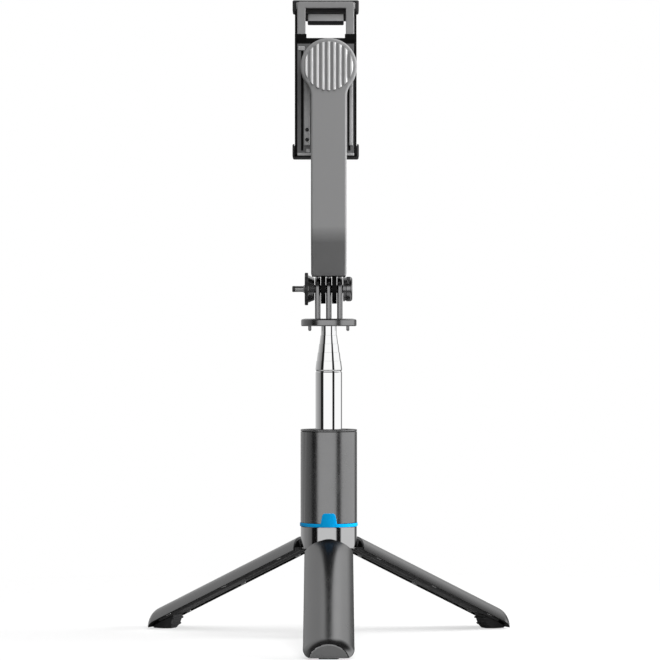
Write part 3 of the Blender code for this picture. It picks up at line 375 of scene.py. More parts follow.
def trim(shape, point, away):
    """Cuts off what lies on one side of a plane, and closes the cut."""
    parts = shape.verts[:] + shape.edges[:] + shape.faces[:]
    cut = bmesh.ops.bisect_plane(shape, geom=parts, plane_co=point, plane_no=away, clear_outer=True)
    edges = [part for part in cut["geom_cut"] if isinstance(part, bmesh.types.BMEdge)]
    bmesh.ops.holes_fill(shape, edges=edges)


def opened(shape, azimuth):
    """Swings a folded leg's shape out to where it stands."""
    hinge = Matrix.Translation((PIVOT_OUT, 0, PIVOT_UP)) @ Matrix.Rotation(-FOLD, 4, "Y")
    return move(shape, Matrix.Rotation(azimuth, 4, "Z") @ hinge @ Matrix.Translation((-PIVOT_OUT, 0, 0)))


def leg_blank(radius, reach, nose, top):
    """The folded legs' common outside, or inside, as one turned solid with a round nose."""
    drop = (reach - nose - PIVOT_OUT) * math.sin(SPLAY) + PIVOT_OUT + nose - radius
    centre = (reach - nose, PIVOT_UP - drop / math.cos(SPLAY))
    outline = [leg_point(*point) for point in [*arc(centre, nose, FOLD, 0, 16), (reach, -4.5)]]
    return turned([(0, top), (radius, top), *outline, (0, outline[-1][1])], 168)


def leg_wall():
    """A folded leg's shell: the blank cut at its nose and chord, hollowed, then rolled at the nose."""
    shape = leg_blank(LEG_RADIUS, LEG_REACH, NOSE, -LEG_TOP)
    out, up = leg_point(*FACET_TOP)
    tip_out, tip_up = leg_point(FACET_TOP[0] + math.cos(FACET_LEAN), FACET_TOP[1] + math.sin(FACET_LEAN))
    facing = Vector((tip_out - out, 0, tip_up - up))
    trim(shape, (out, 0, up), facing)
    root, tip = Vector(leg_point(*CHIN[0])), Vector(leg_point(*CHIN[1]))
    bend = root.lerp(tip, (root.x - LEG_CHORD) / (root.x - tip.x))
    end = root.lerp(tip, 3)
    shape = carve(shape, slab([(LEG_CHORD, 60), bend, end, (-60, end.y), (-60, 60)], -60, 60, "y"))
    for way in (-1, 1):
        trim(shape, (0, 0, 0), (-math.sin(THIRD), way * math.cos(THIRD), 0))
    shape = carve(shape, leg_blank(LEG_RADIUS - LEG_SKIN, INNER_REACH, INNER_NOSE, 10))
    rim = []
    for edge in shape.edges:
        flat = [face.normal.dot(facing) > 0.9999 for face in edge.link_faces]
        skin = [face.normal.x > 0.1 for face in edge.link_faces]
        if len(flat) == 2 and flat[0] != flat[1] and all(skin):
            rim.append(edge)
    bmesh.ops.bevel(shape, geom=rim, offset=0.8, segments=4, profile=0.5, affect="EDGES", material=-1)
    # The shell's inside and a band along its lowest edge take the flat black finish; the band is painted
    # shade for the shadowed groove between the shell and its liner.
    for face in shape.faces:
        spot = face.calc_center_median()
        face.material_index = int(face.normal.x < -0.1 or abs(spot.y) > spot.x * math.tan(GROOVE_SHADE_ANGLE))
    return shape


gunmetal = finish("dark_mirror_plate", (0.27, 0.27, 0.272), 0.24, 1.0, 900.0, 0.000001, 0.05)
liner_black = finish("liner_plastic", (0.05, 0.05, 0.051), 0.6, grain=2600.0, wear_and_highlight=0.04, gloss=0.2)

wall = leg_wall()
for name, azimuth in LEGS.items():
    shell = opened(wall.copy(), azimuth)
    trim(shell, (0, 0, SHELL_LOW), (0, 0, -1))
    finishes = [gunmetal, flat_black]
    piece(f"leg_{name}_wall", shell, finishes, f"leg_{name}", "gloss_black", f"leg_shell_{name}")
wall.free()

# Leg liners: black moulded plates that close each leg's inner side, held by clips along both edges.
# A raised land runs down the middle, and a tongue at the top carries the hinge knuckle.
LINER_TOP = 6.6
LINER_END = 115.0
LAND = 8.25
GROOVE = 9.6
CLIPS = (13.0, 55.0, 98.0)
KNUCKLE = 2.6
TONGUE_HALF = 3.7
STOP_RADIUS = 14.85
STOP_CHORD = 10.5


def block(low, high):
    """A plain block between two corners, for further work."""
    shape = bmesh.new()
    bmesh.ops.create_cube(shape, size=1)
    size = Vector(high) - Vector(low)
    middle = (Vector(high) + Vector(low)) / 2
    return move(shape, Matrix.Translation(middle) @ Matrix.Diagonal((*size, 1)))


def gather(*shapes):
    """Lays several shapes together as one piece."""
    whole = bmesh.new()
    for shape in shapes:
        mesh = bpy.data.meshes.new("laid")
        shape.to_mesh(mesh)
        whole.from_mesh(mesh)
        bpy.data.meshes.remove(mesh)
        shape.free()
    return whole


def paint(shape, index, chosen=lambda middle: True):
    """Gives all faces, or those whose middle is chosen, another of the piece's finishes."""
    for face in shape.faces:
        if chosen(face.calc_center_median()):
            face.material_index = index
    return shape


clip_grey = finish("clip_plastic", (0.3, 0.3, 0.3), 0.4, grain=3000.0)

for name, azimuth in LEGS.items():
    side = [(10.35, 10.9), (GROOVE, 11.6), (GROOVE, 6.1), (LAND, 5.5)]
    section = [*side, *[(out, -across) for out, across in reversed(side)]]
    plate = slab(section, -LINER_END, -LINER_TOP, "z")
    bed = pipe(0, BASE_RADIUS + 0.3, 40, -51.8, 64)
    plate = soften(carve(plate, bed.copy()), 0.18, 2)
    knuckle = [(PIVOT_OUT - KNUCKLE, -16), (PIVOT_OUT + KNUCKLE, -16)]
    knuckle += arc((PIVOT_OUT, 0), KNUCKLE, 0, math.pi)
    tongue = soften(carve(slab(knuckle, -TONGUE_HALF, TONGUE_HALF, "y"), bed), 0.3, 2)
    half = math.acos(STOP_CHORD / STOP_RADIUS)
    rounded = arc((0, 0), STOP_RADIUS, -half, half, 24)
    stop = soften(slab(rounded, -LINER_TOP - 1.6, -LINER_TOP + 0.2, "z"), 0.15, 2)
    paint(stop, 2)
    stud = turned([(0, 0.35), (0.7, 0.3), (0.95, 0), (0.95, -0.6), (0, -0.6)], 20)
    paint(move(stud, Matrix.Translation((13.3, 0, -LINER_TOP + 0.2))), 1)
    clips = []
    for along in CLIPS:
        for way in (-1, 1):
            low = min(way * 10.5, way * 12.0)
            up = -LEG_TOP - along
            clip = block((8.4, low, up - 1.6), (9.8, low + 1.5, up + 1.6))
            clips.append(paint(soften(clip, 0.3, 2), 1))
    liner = opened(gather(plate, tongue, stop, stud, *clips), azimuth)
    finishes = [liner_black, clip_grey, flat_black]
    piece(f"leg_{name}_bed", liner, finishes, f"leg_{name}", "satin_black", f"leg_liner_{name}")

# Feet: soft rubber wedges moulded onto the liners behind each nose, flat on the floor, with two
# gripping ribs across the heel. They narrow to the inside so that the folded feet meet.
FOOT_HALF = 5.5
HEEL = (107.5, 0.0)
HEEL_TOP = (104.4, 8.4)
TOE = 119.0
FOOT_SPLIT = 0.4

rubber = finish("soft_rubber", (0.026, 0.026, 0.027), 0.72, grain=1800.0, depth=0.00005, cloud=0.2, wear_and_highlight=0.03)

for name, azimuth in LEGS.items():
    sole = [HEEL, (TOE - 0.5, 0.0), (TOE, 0.5), (TOE, 1.45), HEEL_TOP]
    bodies = [soften(slab([leg_point(*point) for point in sole], -FOOT_HALF, FOOT_HALF, "y"), 0.3, 2)]
    slope = (Vector(HEEL_TOP) - Vector(HEEL)).normalized()
    back = Vector((-slope.y, slope.x))
    for along in (2.2, 6.2):
        start = Vector(HEEL) + slope * along
        rib = [start - back, start - back + slope * 1.3]
        rib += [start + slope * 1.1 + back * 0.9, start + slope * 0.2 + back * 0.9]
        bodies.append(soften(slab([leg_point(*point) for point in rib], -FOOT_HALF, FOOT_HALF, "y"), 0.2, 2))
    foot = gather(*bodies)
    for way in (-1, 1):
        trim(foot, (FOOT_SPLIT, 0, 0), (-math.sin(math.pi / 3), way * math.cos(math.pi / 3), 0))
    foot = opened(foot, azimuth)
    trim(foot, (0, 0, 0), (0, 0, -1))
    piece(f"leg_{name}_sole", foot, [rubber], f"leg_{name}", "rubber", f"leg_foot_{name}")

# Handle tube: the upper part of the grip, an aluminium tube in the same dark plating as the legs,
# with a window on the far side for the shutter remote, and a black moulded lid round the pole.
TUBE_BORE = 14.9
TUBE_LOW = 67.238
TUBE_HIGH = 120.038
LID_HIGH = 121.338
REMOTE_UP = 94.138
WINDOW = (14.6, 28.6)


def stadium(width, height, up):
    """An upright outline with round ends."""
    radius = width / 2
    rise = height / 2 - radius
    return [*arc((0, up + rise), radius, 0, math.pi), *arc((0, up - rise), radius, math.pi, math.tau)]


tube = pipe(TUBE_BORE, LEG_RADIUS, TUBE_LOW, TUBE_HIGH, 128)
tube = carve(tube, slab(stadium(*WINDOW, REMOTE_UP), 4, 30, "y"))
soften(tube, 0.3, 3, 40)
piece("grip_tube", tube, [gunmetal], "handle", "gloss_black", "handle_tube")

lid = turned(
    [
        (LEG_RADIUS, LID_HIGH),
        (LEG_RADIUS, TUBE_HIGH + 0.3),
        (14.6, TUBE_HIGH + 0.3),
        (14.6, TUBE_HIGH - 8),
        (BASE_RADIUS + 0.3, TUBE_HIGH - 8),
        (BASE_RADIUS + 0.3, BASE_HIGH + 0.3),
        (7.95, BASE_HIGH + 0.3),
        (7.95, LID_HIGH),
        (9.85, LID_HIGH),
        (9.85, LID_HIGH - 3.1),
        (12.35, LID_HIGH - 3.1),
        (12.35, LID_HIGH),
    ],
    128,
)
soften(lid, 0.3, 3)
paint(lid, 1, lambda middle: middle.xy.length > 16.2)
piece("grip_lid", lid, [satin_black, gunmetal], "handle", "satin_black", "top_cap")

# Blue ring: a moulded band trapped between the hub and the handle tube, standing a little proud of
# both. A tab rises from it over each leg, into a notch in the tube.
RING_LOW = 64.938
RING_HIGH = 66.938
RING_RADIUS = 16.9
TAB_BASE = 5.1
TAB_TOP = 4.1
TAB_HIGH = RING_HIGH + 6.2
TAB_CORNER = 2.0

blue = finish("blue_plastic", (0.0, 0.31, 0.67), 0.5, grain=2600.0, depth=0.000012, cloud=0.06, gloss=0.15)
# Seen in a reflection, the blue is painted nearly black: painted shade on the band's mirrored image, not its
# own colour.
tree = blue.node_tree
path = add(tree, "ShaderNodeLightPath")
dark_in_reflections = add(tree, "ShaderNodeMix", data_type="RGBA")
dark_in_reflections.inputs[7].default_value = (0.0, 0.04, 0.09, 1)
colour_in = tree.nodes["Principled BSDF"].inputs["Base Color"]
tree.links.new(path.outputs["Is Glossy Ray"], dark_in_reflections.inputs["Factor"])
tree.links.new(colour_in.links[0].from_socket, dark_in_reflections.inputs[6])
tree.links.new(dark_in_reflections.outputs[2], colour_in)

band = [soften(pipe(TUBE_BORE, RING_RADIUS, RING_LOW, RING_HIGH, 128), 0.35)]
for azimuth in LEGS.values():
    right = arc((TAB_TOP - TAB_CORNER, TAB_HIGH - TAB_CORNER), TAB_CORNER, 0.1, math.pi / 2, 6)
    right.insert(0, (TAB_BASE, RING_LOW + 0.8))
    outline = [*right, *[(-across, up) for across, up in reversed(right)]]
    tab = soften(slab(outline, -RING_RADIUS, -15.2, "y"), 0.3, 3)
    for step in range(-9, 10):
        parts = tab.verts[:] + tab.edges[:] + tab.faces[:]
        bmesh.ops.bisect_plane(tab, geom=parts, plane_co=(step * 0.5, 0, 0), plane_no=(1, 0, 0))
    for point in tab.verts:
        turn = point.co.x / RING_RADIUS
        point.co = (-point.co.y * math.sin(turn), point.co.y * math.cos(turn), point.co.z)
    band.append(move(tab, Matrix.Rotation(azimuth + math.pi / 2, 4, "Z")))
piece("accent_band", gather(*band), [blue], "handle", "blue_plastic", "accent_ring")

# Telescopic pole: five chrome-plated steel tubes, one inside the other. Each is drawn in at its rim so
# that the next one can't pull out, and the widest has a rolled groove below its rim.
POLE_RADIUS = 7.75
POLE_STEP = 0.8
POLE_WALL = 0.5
POLE_FIRST = LID_HIGH + 39.9
POLE_SHOWN = 5.0
POLE_LOW = POLE_FIRST - 86.0
DISC_LOW = POLE_FIRST + 4 * POLE_SHOWN + 0.3

for number in range(5):
    radius = POLE_RADIUS - number * POLE_STEP
    bore = radius - POLE_WALL
    low = POLE_LOW + 1.5 * number
    high = POLE_FIRST + POLE_SHOWN * number
    rim = [(radius - 0.55, high), (radius - 0.02, high - 4.4), (radius, high - POLE_SHOWN)]
    lip = [(bore, high - 5.6), (bore - 0.2, high)]
    if number == 4:
        high = DISC_LOW + 2.3
        rim = [(radius, high)]
        lip = [(bore, high)]
    if number == 0:
        groove = arc((radius + 0.75, high - 6.0), 1.05, math.radians(135), math.radians(225), 8)
        rim += [(min(across, radius), up) for across, up in groove]
    foot = [(radius, low + 3), (radius + 0.15, low + 2.8), (radius + 0.15, low), (bore, low)]
    section = turned([*rim, *foot, *lip], 80)
    soften(section, 0.1, 2, 50)
    place = number + 1
    piece(f"tube_{place}", section, [chrome], f"pole_{place}", "chrome", f"pole_section_{place}")

# Head: one moulding of glass-filled nylon. A disc sits on the top tube, three flat prongs carry the
# tilting arm, and two pegs below the disc drop into the lid's groove when the pole is closed.
DISC_RADIUS = 16.2
DISC_HIGH = DISC_LOW + 4.4
TILT_UP = DISC_HIGH + 17.3
PRONG = 7.5
PRONG_HALF = 1.6
PRONG_PITCH = 6.45
PEG_SPREAD = 11.1
BOLT_BORE = 2.5

graphite = finish("graphite_plastic", (0.29, 0.29, 0.293), 0.24, 1.0, 2200.0, 0.000004, 0.06)

disc = turned(
    [
        (0, DISC_HIGH),
        (DISC_RADIUS - 2.2, DISC_HIGH),
        (DISC_RADIUS, DISC_HIGH - 0.5),
        (DISC_RADIUS, DISC_LOW),
        (DISC_RADIUS - 3.4, DISC_LOW),
        (DISC_RADIUS - 3.8, DISC_LOW + 0.3),
        (7.2, DISC_LOW + 0.3),
        (6.8, DISC_LOW),
        (4.75, DISC_LOW),
        (4.75, DISC_LOW + 2.6),
        (0, DISC_LOW + 2.6),
    ],
    128,
)
soften(disc, 0.6, 3, 40)
parts = [disc]
to_tilt = Matrix.Translation((0, 0, TILT_UP))
to_right = to_tilt @ Matrix.Rotation(math.pi / 2, 4, "Y")
outline = [(-PRONG, DISC_HIGH - 2.6), (PRONG, DISC_HIGH - 2.6), *arc((0, TILT_UP), PRONG, 0, math.pi, 40)]
for side in (-1, 0, 1):
    middle = side * PRONG_PITCH
    prong = soften(slab(outline, middle - PRONG_HALF, middle + PRONG_HALF, "x"), 1.35, 6)
    parts.append(carve(prong, move(pipe(0, BOLT_BORE, -40, 40, 40), to_right)))
for side in (-1, 1):
    peg = turned([(0, 0.5), (0.95, 0.5), (0.95, -2.1), (0.55, -2.8), (0, -2.8)], 24)
    parts.append(move(soften(peg, 0.2, 2), Matrix.Translation((side * PEG_SPREAD, 0, DISC_LOW))))
piece("head_prongs", gather(*parts), [graphite], "head", "gloss_black", "head_mount")

# Tilt joint: a steel bolt through the prongs, a captive nut under a round black cap on the right, and
# on the left a thumbscrew with a lobed disc, a tapered hub and a turned metal post with a black tip.
JOINT_SIDE = PRONG_PITCH + PRONG_HALF + 0.3
CAP_RADIUS = 7.2
KNOB_RADIUS = 9.5

post_steel = finish("post_steel", (0.5, 0.5, 0.5), 0.35, 1.0, 500.0, 0.000003, 0.08, stretch=(0.05, 1, 1))

to_left = to_tilt @ Matrix.Rotation(-math.pi / 2, 4, "Y")
cap_end = JOINT_SIDE + 5.4
cover = turned(
    [
        (0, cap_end),
        *arc((CAP_RADIUS - 1.5, cap_end - 1.5), 1.5, math.pi / 2, 0, 6),
        (CAP_RADIUS, JOINT_SIDE + 2.0),
        (CAP_RADIUS - 0.4, JOINT_SIDE + 1.7),
        (CAP_RADIUS - 0.4, JOINT_SIDE + 1.2),
        (CAP_RADIUS, JOINT_SIDE + 0.9),
        (CAP_RADIUS, JOINT_SIDE),
        (4.9, JOINT_SIDE),
        (4.9, JOINT_SIDE + 4.1),
        (0, JOINT_SIDE + 4.1),
    ],
    96,
)
soften(cover, 0.12, 2, 35)
piece("nut_cover", move(cover, to_right), [graphite], "head", "satin_black", "nut_cap")

knob_start = JOINT_SIDE + 3.7
knob_end = knob_start + 2.0
tip = knob_end + 7.3
stem = turned(
    [
        (0, tip),
        (1.45, tip),
        (1.75, tip - 0.3),
        (1.75, tip - 1.5),
        (1.6, tip - 1.6),
        (1.75, tip - 1.7),
        (1.75, knob_end + 1.2),
        (2.2, knob_end + 0.35),
        (2.95, knob_end - 0.3),
        (7.9, knob_start + 0.3),
        (7.9, knob_start - 0.3),
        (6.5, JOINT_SIDE),
        (2.5, JOINT_SIDE),
        (2.5, JOINT_SIDE + 2.5),
        (0, JOINT_SIDE + 2.5),
    ],
    64,
)
paint(stem, 1, lambda middle: knob_end - 0.1 < middle.z < tip - 1.65)
paint(stem, 2, lambda middle: JOINT_SIDE + 0.05 < middle.z < knob_start and middle.xy.length > 5)
lobes = []
for step in range(96):
    angle = math.tau * step / 96
    reach = KNOB_RADIUS - 0.9 * (1 - math.cos(8 * angle)) / 2
    lobes.append((reach * math.cos(angle), reach * math.sin(angle)))
wheel = soften(slab(lobes, knob_start, knob_end, "z"), 0.45, 3, 40)
knob = move(gather(stem, wheel), to_left)
piece("tilt_knob", knob, [satin_black, post_steel, graphite], "thumbscrew", "satin_black", "thumbscrew")

# Arm: two moulded halves of satin grey plastic, screwed together from the clamp's side. The bar bends
# forward at its foot and ends in two fingers that fit between the prongs; its head is a round boss.
ARM_HALF = 10.3
ARM_BACK = -28.0
ARM_CORNER = 30.4
ARM_SLANT = math.radians(39.7)
ARM_ROOT = 10.7
ARM_BEND = 15.0
ARM_RISE = 127.8
HEAD_RADIUS = 16.2
NECK = 12.0
REAR = 7.0
FINGER = 8.6
FINGER_HALF = 1.4
CAP_SEAT = 14.0
SHAFT_BORE = 3.2

arm_grey = finish(
    "satin_grey_plastic", (0.25, 0.25, 0.252), 0.44, grain=2600.0, depth=0.000018, cloud=0.04, wear_and_highlight=0.14
)


def slanted(along, across):
    """A point of the arm's slanted foot, from the tilt axis."""
    depth = across * math.cos(ARM_SLANT) - along * math.sin(ARM_SLANT)
    return depth, across * math.sin(ARM_SLANT) + along * math.cos(ARM_SLANT)


def arm_half(near, far, inset=0.0):
    """The arm's side view between two depths, cut to its front view of a round head on a bar."""
    bend = (ARM_BACK + ARM_BEND, ARM_CORNER + ARM_BEND * math.tan(ARM_SLANT / 2))
    face = ARM_CORNER * math.sin(ARM_SLANT) + ARM_BACK * math.cos(ARM_SLANT)
    lean = math.pi + ARM_SLANT
    outline = [slanted(ARM_ROOT + inset, face + near), *arc(bend, ARM_BEND - near, lean, math.pi, 20)]
    outline += [(ARM_BACK + near, 200), (ARM_BACK + far, 200)]
    outline += [*arc(bend, ARM_BEND - far, math.pi, lean, 20), slanted(ARM_ROOT + inset, face + far)]
    half = ARM_HALF - inset
    round_head = HEAD_RADIUS - inset
    drop = math.sqrt((round_head + NECK) ** 2 - (half + NECK) ** 2)
    open_angle = math.atan2(drop, half + NECK)
    right = arc((half + NECK, ARM_RISE - drop), NECK, math.pi, math.pi - open_angle, 14)
    head = arc((0, ARM_RISE), round_head, -open_angle, math.pi + open_angle, 80)
    left = [(-across, up) for across, up in reversed(right)]
    keyhole = [(half, -20), *right, *head[1:-1], *left, (-half, -20)]
    shape = carve(slab(outline, -60, 60, "x"), slab(keyhole, -60, 60, "y"), "INTERSECT")
    bmesh.ops.dissolve_limit(shape, angle_limit=0.002, verts=shape.verts[:], edges=shape.edges[:])
    return shape


def along_y(shape, spot=(0, 0, ARM_RISE)):
    """Lays a turned shape along the depth through a spot, or on the clamp's swivel axis."""
    return move(shape, Matrix.Translation(spot) @ Matrix.Rotation(-math.pi / 2, 4, "X"))


back = soften(arm_half(0, REAR), 1.3, 5, 40)
back = carve(back, along_y(pipe(0, CAP_SEAT, ARM_BACK - 9, ARM_BACK + 1.1, 128)))
back = carve(back, along_y(pipe(0, 12.5, ARM_BACK + 2.3, ARM_BACK + 12, 64)))
face = ARM_CORNER * math.sin(ARM_SLANT) + ARM_BACK * math.cos(ARM_SLANT)
near = math.asin(face / FINGER)
far = math.asin((face + REAR - 0.2) / FINGER)
swing = arc((0, 0), FINGER, near, far - math.tau, 48)
finger_side = [(ARM_ROOT + 3.5, face + 0.2), *swing, (ARM_ROOT + 3.5, face + REAR - 0.2)]
finger_side = [slanted(*point) for point in finger_side]
fingers = []
# The fingers and the web at their root take the flat black finish: painted shade for where they sit in shadow
# between the prongs, under the arm's bent foot.
for side in (-1, 1):
    middle = side * PRONG_PITCH / 2
    bore = move(pipe(0, BOLT_BORE, -40, 40, 40), Matrix.Rotation(math.pi / 2, 4, "Y"))
    finger = soften(carve(slab(finger_side, middle - FINGER_HALF, middle + FINGER_HALF, "x"), bore), 0.3, 3)
    fingers.append(paint(finger, 1))
root = [(9.3, face + 1.6), (ARM_ROOT + 1.5, face + 0.8), (ARM_ROOT + 1.5, face + 6), (9.3, face + 6)]
root = [slanted(*point) for point in root]
web = paint(soften(slab(root, 0.4 - ARM_HALF, ARM_HALF - 0.4, "x"), 0.4, 2), 1)
rear_half = move(gather(back, web, *fingers), to_tilt)
piece("arm_back", rear_half, [arm_grey, flat_black], "arm", "satin_grey", "arm_rear_shell")


def cross_head(radius, rise):
    """A small pan-head screw with a cross recess, standing on the floor of the sketch."""
    dome = [(0, rise), (radius * 0.55, rise), (radius * 0.9, rise * 0.65), (radius, 0.1)]
    screw = turned([*dome, (radius, -0.4), (0, -0.4)], 28)
    for turn in (0, math.pi / 2):
        bar = block((-radius * 0.62, -radius * 0.13, rise * 0.35), (radius * 0.62, radius * 0.13, rise * 2))
        screw = carve(screw, move(bar, Matrix.Rotation(turn, 4, "Z")))
    return screw


black_steel = finish("blackened_steel", (0.06, 0.06, 0.062), 0.36, 1.0, 900.0, 0.000004, 0.15)

cover = soften(arm_half(REAR + 0.3, 10.0), 0.5, 3, 40)
boss = soften(along_y(pipe(0, 15.4, -20, -15)), 0.4, 3)
shaft_bore = along_y(pipe(0, SHAFT_BORE, -40, 10, 48))
parts = [carve(cover, shaft_bore.copy()), carve(boss, shaft_bore)]
for up in (46.0, 74.0, 102.0):
    parts.append(paint(along_y(cross_head(2.1, 0.7), (0, -18.0, up)), 1))
front_half = move(gather(*parts), to_tilt)
piece("arm_cover", front_half, [arm_grey, black_steel], "arm", "satin_grey", "arm_front_shell")

# Swivel cap: a round moulded inset on the back of the arm's head, pressed into its seat over the
# swivel nut, with nine upright gripping ribs.
INSET_RADIUS = 13.95
RIB_PITCH = 3.25
RIB_HALF = 0.95
RIB_RISE = 1.2
INSET_FACE = ARM_BACK + 0.1

wave = [(20, ARM_BACK + 0.8), (20, INSET_FACE)]
for number in range(4, -5, -1):
    crest = arc((number * RIB_PITCH, INSET_FACE), RIB_HALF, 0, math.pi, 10)
    wave += [(across, INSET_FACE - (up - INSET_FACE) * RIB_RISE / RIB_HALF) for across, up in crest]
wave += [(-20, INSET_FACE), (-20, ARM_BACK + 0.8)]
ribbed = slab(wave, ARM_RISE - 20, ARM_RISE + 20, "z")
inset = along_y(pipe(0, INSET_RADIUS, ARM_BACK - 9, ARM_BACK + 9, 128))
ribbed = carve(ribbed, inset, "INTERSECT")
cap_grey = finish("cap_plastic", (0.2, 0.2, 0.202), 0.36, grain=2600.0, depth=0.000015, cloud=0.04)
rib_crest_highlight = finish("rib_crest_painted_highlight", (0.62, 0.62, 0.623), 0.3, grain=2600.0, depth=0.000012, cloud=0.04)
# The rib crests are painted pale, a painted highlight, against the darker grooves between them.
paint(ribbed, 1, lambda middle: middle.y < INSET_FACE - 0.35)
ribbed = move(ribbed, to_tilt)
piece("arm_ribbed_cap", ribbed, [cap_grey, rib_crest_highlight], "arm", "satin_grey", "swivel_cap")

# Clamp housing: a flat moulded case behind the phone, on the arm's swivel and a little to one side of it.
# Its edges and upper end are black, its rails paler, and its lower bead painted paler as a painted highlight
# on a lit edge; open channels guide the upper jaw.
SWIVEL_UP = TILT_UP + ARM_RISE
CLAMP_SIDE = -1.8
CASE_HALF = 17.9
CASE_BACK = -13.3
CASE_FRONT = -5.5
CASE_LOW = -50.8
CASE_HIGH = 17.6
COLLAR_HIGH = 19.9
BLACK_END = 14.2
CASE_EDGE = 16.4
SHELF_HALF = 17.1
SHELF_FRONT = 6.9
RAILS = ((-12.5, -9.25), (13.7, 15.6))

case_grey = finish("case_plastic", (0.1, 0.1, 0.102), 0.4, grain=2600.0, cloud=0.08, wear_and_highlight=0.12)
rail_grey = finish(
    "rail_plastic", (0.3, 0.3, 0.303), 0.4, grain=2600.0, depth=0.000018, cloud=0.05, wear_and_highlight=0.12
)

to_clamp = Matrix.Translation((CLAMP_SIDE, 0, SWIVEL_UP))

case = block((-CASE_HALF, CASE_BACK, CASE_LOW), (CASE_HALF, CASE_FRONT, CASE_HIGH))
soften(case, 1.0, 4)
for way in (-1, 1):
    low, high = sorted((way * 11.4, way * 16.8))
    case = carve(case, block((low, CASE_BACK + 1.5, CASE_LOW + 1.6), (high, 5, 40)))
    low, high = sorted((way * 16.0, way * 20))
    case = carve(case, block((low, -8.4, -48.8), (high, 5, 40)))
    low, high = sorted((way * 12.9, way * 14.3))
    case = carve(case, block((low, CASE_BACK - 5, CASE_LOW + 3), (high, CASE_BACK + 0.7, BLACK_END - 4)))
for radius, start in ((SHAFT_BORE, -40), (5.3, -8.9)):
    case = carve(case, along_y(pipe(0, radius, start, 40, 48), (-CLAMP_SIDE, 0, 0)))
for spot, way in (
    ((0, 0, BLACK_END), (0, 0, 1)),
    ((CASE_EDGE, 0, 0), (1, 0, 0)),
    ((-CASE_EDGE, 0, 0), (1, 0, 0)),
):
    sections = case.verts[:] + case.edges[:] + case.faces[:]
    bmesh.ops.bisect_plane(case, geom=sections, plane_co=spot, plane_no=way)
paint(case, 1, lambda middle: middle.z > BLACK_END or abs(middle.x) > CASE_EDGE or middle.y > CASE_BACK + 0.5)
shelf = block((-SHELF_HALF, CASE_BACK + 1.5, CASE_LOW + 0.2), (SHELF_HALF, SHELF_FRONT, -47.0))
bead = block((-CASE_EDGE, CASE_BACK - 0.4, CASE_LOW + 0.1), (CASE_EDGE, CASE_BACK + 0.8, CASE_LOW + 1.7))
stop = block((-11.4, CASE_BACK - 0.5, CASE_LOW + 1.9), (-9.3, CASE_BACK + 0.5, CASE_LOW + 4))
parts = [case, paint(soften(shelf, 0.3, 2), 1)]
# The bead along the case's lower edge is painted pale: a painted highlight for that edge catching the light.
parts += [paint(soften(bead, 0.35, 3), 2), paint(soften(stop, 0.3, 2), 2)]
for way in (-1, 1):
    low, high = sorted((way * 11.1, way * CASE_HALF))
    collar = soften(block((low, CASE_BACK, CASE_HIGH - 3), (high, CASE_BACK + 1.4, COLLAR_HIGH)), 0.35, 3)
    parts.append(paint(collar, 1))
for low, high in RAILS:
    rail = soften(block((low, CASE_BACK - 0.9, CASE_LOW + 6), (high, CASE_BACK + 0.5, CASE_HIGH - 8)), 0.4, 3)
    parts.append(paint(rail, 2))
catch = block((-16.1, CASE_BACK - 0.5, BLACK_END - 4), (-12.1, CASE_BACK + 0.5, BLACK_END - 1.5))
parts.append(paint(soften(catch, 0.35, 3), 2))
for up in (-35.7, -41.5):
    place = Matrix.Translation((-10.8, CASE_BACK - 0.9, up)) @ Matrix.Rotation(math.pi / 2, 4, "X")
    parts.append(paint(move(cross_head(1.1, 0.45), place), 3))
finishes = [case_grey, flat_black, rail_grey, black_steel]
piece("clamp_case", move(gather(*parts), to_clamp), finishes, "clamp", "satin_grey", "clamp_body")

# Clamp front: a black moulded plate that closes the housing on the phone's side, with a thin ribbed
# rubber cushion glued on it for the phone's back.
PLATE = (-5.2, -3.9)
CUSHION = (-3.6, -2.6)

plate = soften(block((-17.3, PLATE[0], -46.7), (17.3, PLATE[1], 17.0)), 0.5, 3)
piece("clamp_plate", move(plate, to_clamp), [flat_black], "clamp", "satin_black", "clamp_front")

side = [(CUSHION[0], -42.7), (CUSHION[1] - 0.3, -42.7)]
for number in range(18):
    up = -42.0 + 3.0 * number
    side += [(CUSHION[1], up + 0.3), (CUSHION[1], up + 2.0)]
    side += [(CUSHION[1] - 0.35, up + 2.25), (CUSHION[1] - 0.35, up + 2.75)]
side += [(CUSHION[1] - 0.3, 11.4), (CUSHION[0], 11.4)]
cushion = soften(slab(side, -13, 13, "x"), 0.12, 2, 40)
piece("clamp_cushion", move(cushion, to_clamp), [rubber], "clamp", "rubber", "rest_pad")

# Lower jaw: a rubber sleeve stretched over the housing's shelf. Its lip holds the phone's front edge,
# with a grey moulded bar along it that is painted near white, as painted light for the shade it stands in,
# and grooves across its floor grip the phone.
SLEEVE_HALF = 19.3
LOWER_GRIP = -45.4
UPPER_GRIP = 33.4
LIP = (7.2, 10.2)
LIP_HALF = 10.6
LIP_ROOT = 1.6
LIP_RISE = 6.2
BAR_RISE = 3.9
EAR = 1.6


def jaw_sleeve(back, low, high, grip, way):
    """A sleeve round a shelf, open at the back and cleared for the phone, with ears at its sides."""
    sleeve = soften(block((-SLEEVE_HALF, back, low), (SLEEVE_HALF, 10.4, high)), 0.9, 4)
    shelf_low, shelf_high = sorted((grip - way * 1.3, grip - way * 5.7))
    sleeve = carve(sleeve, block((-17.4, -60, shelf_low), (17.4, 7.2, shelf_high)))
    near, far = sorted((grip, grip + way * 60))
    sleeve = carve(sleeve, block((-60, -2.6, near), (60, 6.9, far)))
    for number in range(4):
        depth = -1.2 + 2.1 * number
        bar = block((-14, depth, grip - way * 0.35 - 0.35), (14, depth + 0.8, grip - way * 0.35 + 0.35))
        sleeve = carve(sleeve, move(bar, Matrix.Translation((0, 0, way * 0.35))))
    return sleeve


